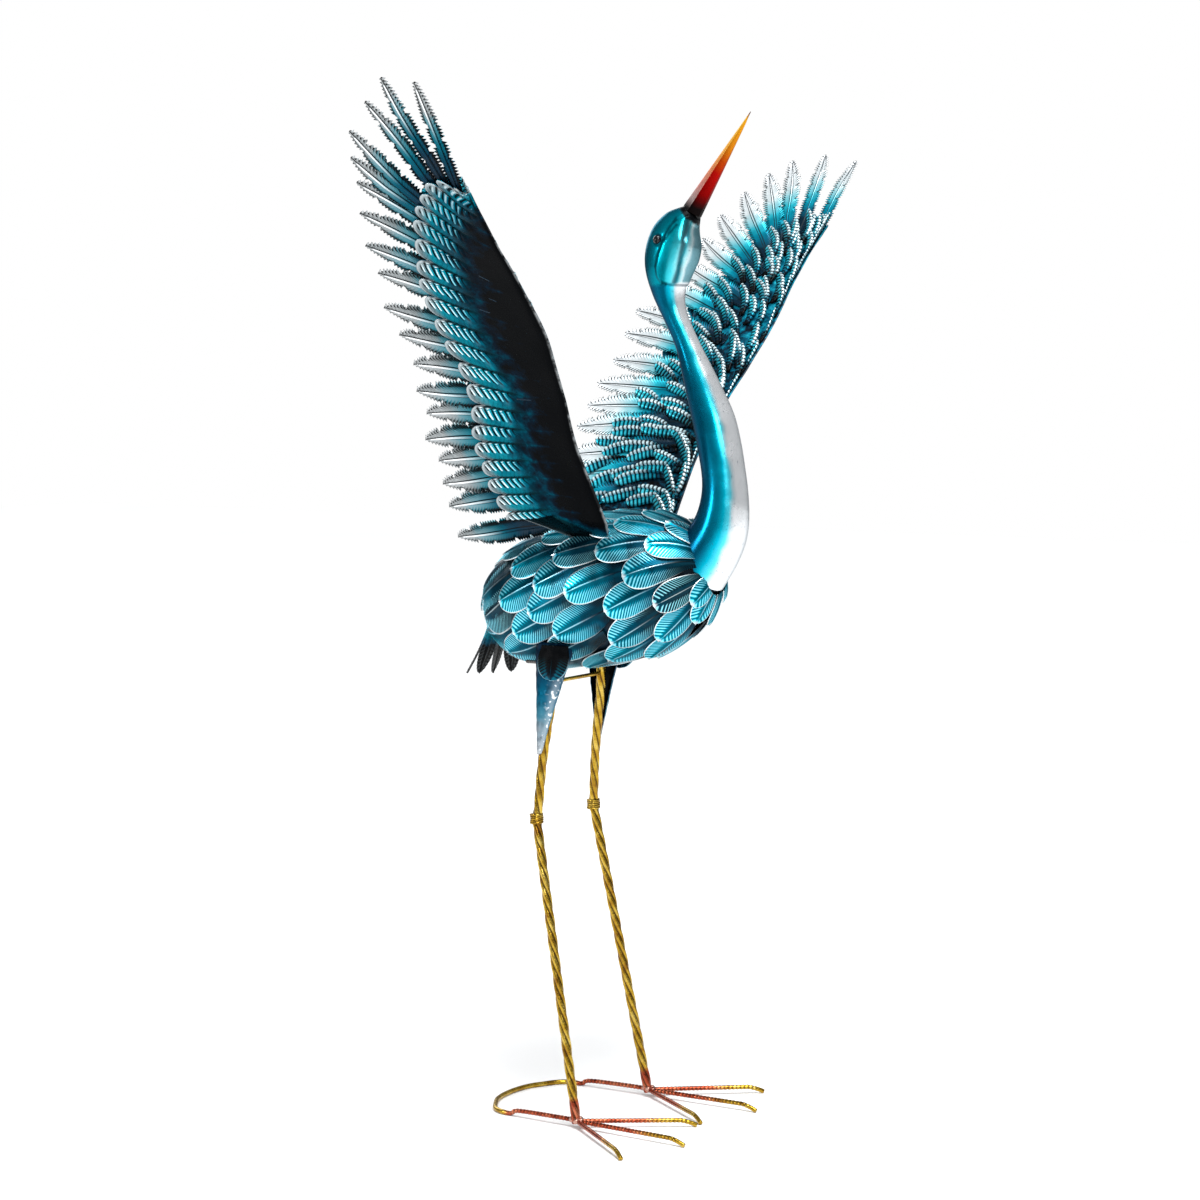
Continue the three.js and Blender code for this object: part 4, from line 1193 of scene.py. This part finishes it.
def makeKneeWraps():
    chance = random.Random(3)
    x, y, z = leg["path"][-1]
    count = kneeWrap["turns"] * kneeWrap["perTurn"]
    rise = kneeWrap["height"] - 2 * kneeWrap["wire"]

    def section(share, turn):
        return kneeWrap["wire"], {"ridge": 0.34 + 0.2 * abs(math.sin(share * 40)), "tone": 0.25}

    def draw(bm, side, word):
        points = []
        for i in range(count + 1):
            angle = fullTurn * i / kneeWrap["perTurn"]
            radius = kneeWrap["radius"] + 0.35 * math.sin(i * 0.9) + chance.uniform(-0.1, 0.1)
            out = Vector((radius * math.cos(angle), radius * math.sin(angle), 0))
            height = z + (i / count - 0.5) * rise + 0.25 * math.sin(i * 0.37)
            points.append(onSide(side, (x, y, height)) + out)
        addTube(bm, points, kneeWrap["around"], section, sideways=Vector((0, 0, 1)))

    makePair("knee_wrap_wire", ["knee_wrap"], goldFinish, draw)


# The brace, a straight rod between the legs
brace = {"radius": 2.2, "y": 44.4, "z": 467.5, "reach": 41, "steps": 40, "around": 14}


def makeBrace():
    ends = [(end * brace["reach"], brace["y"], brace["z"]) for end in (-1, 1)]

    def section(share, turn):
        return brace["radius"] - 0.08 * abs(math.sin(share * 60)), {"ridge": 0.8, "tone": 0.15}

    bm = newMesh()
    path = evenPath(ends, brace["steps"], smooth=False)
    addTube(bm, path, brace["around"], section, sideways=Vector((0, 0, 1)))
    finishPiece("leg_brace_rod", bm, goldFinish, ["leg_brace"])


# Thighs, half cones of hammered sheet that are open on the side facing the leg
thigh = {
    "topZ": 510, "tipZ": 391, "backY": 65, "tipBackY": 58.5, "topWidth": 51, "topX": 48, "tipX": 58.5,
    "bulge": 16, "tipBulge": 3.5, "wall": 0.9, "dimple": 0.9, "rows": 60, "around": 36,
}


def onThigh(u, turn, inset):
    half = thigh["topWidth"] / 2 * (1 - 0.9 * u ** 0.85)
    bulge = lerp(thigh["bulge"], thigh["tipBulge"], u)
    return Vector((
        lerp(thigh["topX"], thigh["tipX"], u) + (bulge - inset) * math.cos(turn - math.pi / 2),
        lerp(thigh["backY"], thigh["tipBackY"], u) - half + (half - inset) * math.sin(turn - math.pi / 2),
        lerp(thigh["topZ"], thigh["tipZ"], u),
    ))


def makeThighPaint():
    paint = Finish("thighPaint")
    cloud = paint.cloud(16)
    skin = paint.ramp(paint.mark("along") + (cloud - 0.5) * 0.3, [
        (0.05, (0.0, 0.012, 0.03)), (0.3, (0.0, 0.035, 0.075)), (0.52, (0.0, 0.09, 0.16)),
        (0.7, (0.04, 0.17, 0.24)), (0.84, (0.22, 0.27, 0.31)), (1.0, (0.42, 0.44, 0.46)),
    ])
    # painted highlight down the front of the thigh, with painted glints on its hammer dimples
    lit = paint.mark("shade")
    highlighted = paint.mix(lit * 0.45, skin, (0.4, 0.47, 0.52))
    dimpleGlints = paint.between(paint.cloud(3.6, 0.0), 0.6, 0.68)
    glinted = paint.mix(dimpleGlints * lit, highlighted, white)
    return paint.coat({
        "Base Color": paint.mix(paint.mark("rib"), glinted, black),
        "Metallic": 0.7, "Roughness": paint.between(cloud, 0.3, 0.7, 0.26, 0.38),
        "Normal": paint.bump(paint.cloud(3), 0.3, 0.5),
        "Specular IOR Level": 0.2, "Specular Tint": (0.4, 0.4, 0.4, 1),
    })


def addThighFace(bm, side, inside):
    def shape(column, row):
        u = row / thigh["rows"]
        turn = math.pi * column / thigh["around"]
        point = onThigh(u, turn, inside * thigh["wall"])
        point.x += thigh["dimple"] * roughly(point, 5.5, 3) * (1 - 0.5 * inside)
        lit = math.exp(-((turn - 0.62) / 0.4) ** 2) * ease(0.15, 0.5, u)
        return onSide(side, point), {"along": u, "rib": inside, "shade": lit}

    addGrid(bm, thigh["around"], thigh["rows"], shape)


def drawThigh(bm, side, word):
    addThighFace(bm, side, 0)
    addThighFace(bm, side, 1)
    bmesh.ops.bridge_loops(bm, edges=[edge for edge in bm.edges if edge.is_boundary])


def makeThighs():
    makePair("thigh_shell", ["thigh"], makeThighPaint(), drawThigh)


# Thigh feathers, one rounded feather over the top of each thigh
thighLeaf = {
    "length": 38, "halfWidth": 19.5, "rows": 28, "slant": 0.5, "rootWidth": 0.85, "widest": 0.4,
    "roundFrom": 0.45, "tipPower": 2.2, "tipRound": 0.5, "toothFrom": 0.1, "relief": 0.4, "rib": 0.3,
    "crown": 3.4, "rimRise": 0.6, "sink": 3.4, "root": (69, 31, 508), "tip": (71, 35, 471),
}
thighLeafPaint = featherPaint("thighLeafPaint", [
    (0.0, black), (0.6, black), (0.85, navy), (1.0, deepTeal),
], {
    "cloud": 8, "drift": 0.3, "spread": 0.1, "groove": 0.6, "crestHighlight": 0.3, "crestHighlightColour": teal, "highlightFrom": 0.3,
    "highlightTo": 0.9, "rimFrom": 0.84, "rim": 0.7, "rimColour": (0.3, 0.55, 0.65), "smoothRim": 1.0,
    "ribShine": 0.0, "metalFrom": 0.5, "metal": 0.5, "gloss": 0.22,
})


def drawThighFeather(bm, side, word):
    root, tip = Vector(thighLeaf["root"]), Vector(thighLeaf["tip"])

    def spot(along, across, lift):
        sunk = Vector((lift - thighLeaf["sink"], across, 0))
        return onSide(side, root.lerp(tip, along / thighLeaf["length"]) + sunk)

    addFeather(bm, thighLeaf, spot)


def makeThighFeathers():
    makePair("thigh_leaf", ["thigh_feather"], thighLeafPaint, drawThighFeather, sheet=0.8)


# Bolts that come out behind the thighs
bolt = {
    "radius": 1.85, "x": 46, "startY": 64, "endY": 79.8, "z": 486.6, "pitch": 1.1, "thread": 0.15,
    "steps": 64, "around": 12,
}


def drawBolt(bm, side, word):
    ends = [(side * bolt["x"], y, bolt["z"]) for y in (bolt["startY"], bolt["endY"])]
    length = bolt["endY"] - bolt["startY"]

    def section(share, turn):
        thread = math.cos(fullTurn * share * length / bolt["pitch"] + turn)
        return bolt["radius"] + bolt["thread"] * thread, {}

    addTube(bm, evenPath(ends, bolt["steps"], smooth=False), bolt["around"], section)


def makeBolts():
    steel = Finish("boltSteel")
    scale = steel.cloud(1.5)
    boltSteel = steel.coat({
        "Base Color": steel.ramp(scale, [(0.3, (0.03, 0.03, 0.032)), (0.7, (0.2, 0.19, 0.18))]),
        "Metallic": 0.9, "Roughness": steel.between(scale, 0.3, 0.7, 0.35, 0.55),
    })
    makePair("body_bolt_thread", ["body_bolt"], boltSteel, drawBolt)


# Feet: three ribbed toes to each leg, and one rod that runs back from both and loops round behind
foot = {
    "rod": 2.65, "rib": 0.22, "ribPitch": 4.4, "height": 8, "bend": 18, "wear": 0.1, "around": 14,
    "toeSteps": 110, "loopSteps": 420,
    "toes": {"inner": (4.2, -105.5), "middle": (77, -132.4), "outer": (151, -101.5)},
    "kink": ((71.9, 74.5), (71.2, 85)),
    "loop": ((70.5, 97), (64, 109), (50, 119), (28, 130), (0, 133.5)),
}


def standOnGround(bm):  # with a flat worn where the rod touches the ground
    lowest = min(vert.co.z for vert in bm.verts)
    for vert in bm.verts:
        height = vert.co.z - lowest
        vert.co.z = 0 if height < foot["wear"] * millimetre else height


def toePath(side, tipPlace):  # level from the heel, then bent down to the ground
    heel = Vector((leg["ankle"][0], leg["ankle"][1], foot["height"]))
    end = Vector((*tipPlace, foot["rod"]))
    reach = Vector((end.x - heel.x, end.y - heel.y, 0))
    knuckle = heel + reach * (1 - foot["bend"] / reach.length)
    bend = knuckle.lerp(end, 0.4)
    bend.z = foot["height"] - 0.5
    points = [heel.lerp(knuckle, i / 10) for i in range(11)]
    for i in range(1, 13):
        f = i / 12
        points.append(knuckle * (1 - f) ** 2 + bend * 2 * f * (1 - f) + end * f * f)
    points = [onSide(side, point) for point in points]
    return evenPath(points, foot["toeSteps"], smooth=False), reach.length


def makeToes():
    for side, word in sides:
        for which, tipPlace in foot["toes"].items():
            path, length = toePath(side, tipPlace)

            def section(share, turn):
                spiral = math.cos(fullTurn * share * length / foot["ribPitch"] + turn)
                ribbed = ease(0.97, 0.9, share)
                radius = foot["rod"] - foot["rib"] + foot["rib"] * spiral * ribbed
                coppered = lerp(0.95, 0.15, ease(0.3, 0.95, share))
                return radius, {"ridge": 0.6 + 0.5 * spiral * ribbed, "tone": coppered}

            bm = newMesh()
            addTube(bm, path, foot["around"], section)
            standOnGround(bm)
            finishPiece(f"{which}_toe_rod_{word}", bm, rodFinish, [f"{which}_toe_{word}"])


def makeLoop():
    x, y, _ = leg["ankle"]
    plan = [(x, y + 2), (x - 0.4, 30), *foot["kink"], *foot["loop"][:-1]]
    high = (foot["height"], foot["height"], foot["height"] - 1.2)
    half = [Vector((px, py, high[i] if i < 3 else foot["rod"])) for i, (px, py) in enumerate(plan)]
    back = Vector((*foot["loop"][-1], foot["rod"]))
    points = half + [back] + [onSide(-1, point) for point in reversed(half)]
    path = evenPath(points, foot["loopSteps"])
    length = pathLength(path)

    def section(share, turn):
        fromEnd = min(share, 1 - share) * length
        ribbed = ease(95, 80, fromEnd)
        spiral = math.cos(fullTurn * share * length / foot["ribPitch"] + turn)
        radius = foot["rod"] - foot["rib"] * ribbed * (1 - spiral) - 0.02
        coppered = lerp(0.1, 1, ease(100, 78, fromEnd))
        return radius, {"ridge": lerp(0.8, 0.6 + 0.4 * spiral, ribbed), "tone": coppered}

    bm = newMesh()
    addTube(bm, path, foot["around"], section, sideways=Vector((0, 0, 1)))
    standOnGround(bm)
    finishPiece("stand_loop_rod", bm, rodFinish, ["stand_loop"])


# Weld beads at the ankles. Each has a place off the ankle, a height and a radius
weld = {
    "places": (
        (0, -5.5, 8, 3.6), (-4.5, -2, 9, 3.1), (4.6, -2.5, 8.6, 3.2), (0.4, 5.5, 8.6, 3.4),
        (-3, 3, 11, 2.6),
    ),
    "lumps": 0.14, "lumpSize": 2.4,
}


def drawWelds(bm, side, word):
    x, y, _ = leg["ankle"]
    for k, (dx, dy, z, radius) in enumerate(weld["places"]):
        middle = inFrame(onSide(side, (x + dx, y + dy, z)))
        bead = bmesh.ops.create_icosphere(bm, subdivisions=3, radius=radius * millimetre)["verts"]
        for vert in bead:
            lump = 1 + weld["lumps"] * roughly(vert.co / millimetre, weld["lumpSize"], k + side)
            vert.co = vert.co * lump + middle


def makeWelds():
    bead = Finish("weldBead")
    scale = bead.cloud(3)
    weldBead = bead.coat({
        "Base Color": bead.ramp(scale, [
            (0.3, (0.2, 0.05, 0.03)), (0.55, (0.5, 0.28, 0.22)), (0.75, (0.66, 0.5, 0.44)),
        ]),
        "Metallic": 0.85, "Roughness": bead.between(scale, 0.3, 0.7, 0.25, 0.45),
    })
    makePair("foot_welds", [], weldBead, drawWelds)


# Floor, backdrop, lights and camera

studio = {
    "floorSize": 9.0, "backdrop": 1.0, "surroundings": 0.27,
    "sun": {"towards": (0.25, 0.3, -1), "power": 3.0, "spread": 35},
    # place, aim, size and power
    "lamps": {
        "overhead": ((-0.6, -0.6, 2.8), (0, 0, 0.4), 1.4, 30),
        "key": ((-2.8, -2.2, 2.2), (0, 0, 0.6), 1.0, 60),
        "back": ((1.8, 2.6, 2.0), (0, 0, 0.5), 1.6, 30),
        "strip": ((-2.4, 1.8, 1.2), (0, 0, 0.6), 0.6, 25),
    },
    "camera": {"place": (-2.45715, -1.51469, 0.80642), "turn": 0.5551289, "down": 0.0878004, "lens": 82.32},
}


def makeFloor():
    paint = Finish("floorPaint")
    floorPaint = paint.coat({
        "Base Color": paint.ramp(paint.cloud(900), [(0.3, (0.9, 0.9, 0.9)), (0.7, (0.93, 0.93, 0.93))]),
        "Roughness": 0.9,
    })
    bm = bmesh.new()
    bmesh.ops.create_grid(bm, x_segments=1, y_segments=1, size=studio["floorSize"])
    mesh = bpy.data.meshes.new("floor")
    bm.to_mesh(mesh)
    bm.free()
    mesh.materials.append(floorPaint)
    floorSheet = bpy.data.objects.new("floor", mesh)
    bpy.context.collection.objects.link(floorSheet)


def makeBackdrop():  # the camera sees it white, and the bird is lit by it only softly
    world = bpy.data.worlds.new("studio")
    bpy.context.scene.world = world
    world.use_nodes = True
    nodes, links = world.node_tree.nodes, world.node_tree.links
    surroundings = nodes["Background"]
    surroundings.inputs["Color"].default_value = (0.94, 0.97, 1, 1)
    surroundings.inputs["Strength"].default_value = studio["surroundings"]
    backdrop = nodes.new("ShaderNodeBackground")
    backdrop.inputs["Color"].default_value = (1, 1, 1, 1)
    backdrop.inputs["Strength"].default_value = studio["backdrop"]
    either = nodes.new("ShaderNodeMixShader")
    links.new(nodes.new("ShaderNodeLightPath").outputs["Is Camera Ray"], either.inputs[0])
    links.new(surroundings.outputs[0], either.inputs[1])
    links.new(backdrop.outputs[0], either.inputs[2])
    links.new(either.outputs[0], nodes["World Output"].inputs["Surface"])
    bpy.context.scene.view_settings.view_transform = "Standard"


def pointAlong(holder, direction):
    holder.rotation_euler = Vector(direction).to_track_quat("-Z", "Y").to_euler()
    bpy.context.collection.objects.link(holder)


def makeLights():
    sun = bpy.data.lights.new("sun", "SUN")
    sun.energy = studio["sun"]["power"]
    sun.angle = math.radians(studio["sun"]["spread"])
    pointAlong(bpy.data.objects.new("sun", sun), studio["sun"]["towards"])
    for name, (place, aim, size, power) in studio["lamps"].items():
        lamp = bpy.data.lights.new(name, "AREA")
        lamp.size = size
        lamp.energy = power
        holder = bpy.data.objects.new(name, lamp)
        holder.location = place
        pointAlong(holder, Vector(aim) - Vector(place))


def makeCamera():
    view = studio["camera"]
    turn, level, down = view["turn"], math.cos(view["down"]), math.sin(view["down"])
    camera = bpy.data.objects.new("camera", bpy.data.cameras.new("camera"))
    camera.data.lens = view["lens"]
    camera.data.sensor_width = 36
    camera.data.clip_end = 50
    camera.location = view["place"]
    pointAlong(camera, (math.cos(turn) * level, math.sin(turn) * level, -down))
    bpy.context.scene.camera = camera


stages = {
    "body shell": makeBodyShell,
    "body feathers": makeBodyFeathers,
    "wing plates": makeWingPlates,
    "long feathers": makeLongFeathers,
    "covert feathers": makeCoverts,
    "tail": makeTail,
    "neck and head": makeNeckAndHead,
    "eyes": makeEyes,
    "bill": makeBill,
    "legs": makeLegs,
    "knee wraps": makeKneeWraps,
    "brace": makeBrace,
    "thighs": makeThighs,
    "thigh feathers": makeThighFeathers,
    "bolts": makeBolts,
    "toes": makeToes,
    "stand loop": makeLoop,
    "welds": makeWelds,
    "floor": makeFloor, "backdrop": makeBackdrop, "lights": makeLights, "camera": makeCamera,
}
for stage, make in stages.items():
    make()
    print(stage, "made")
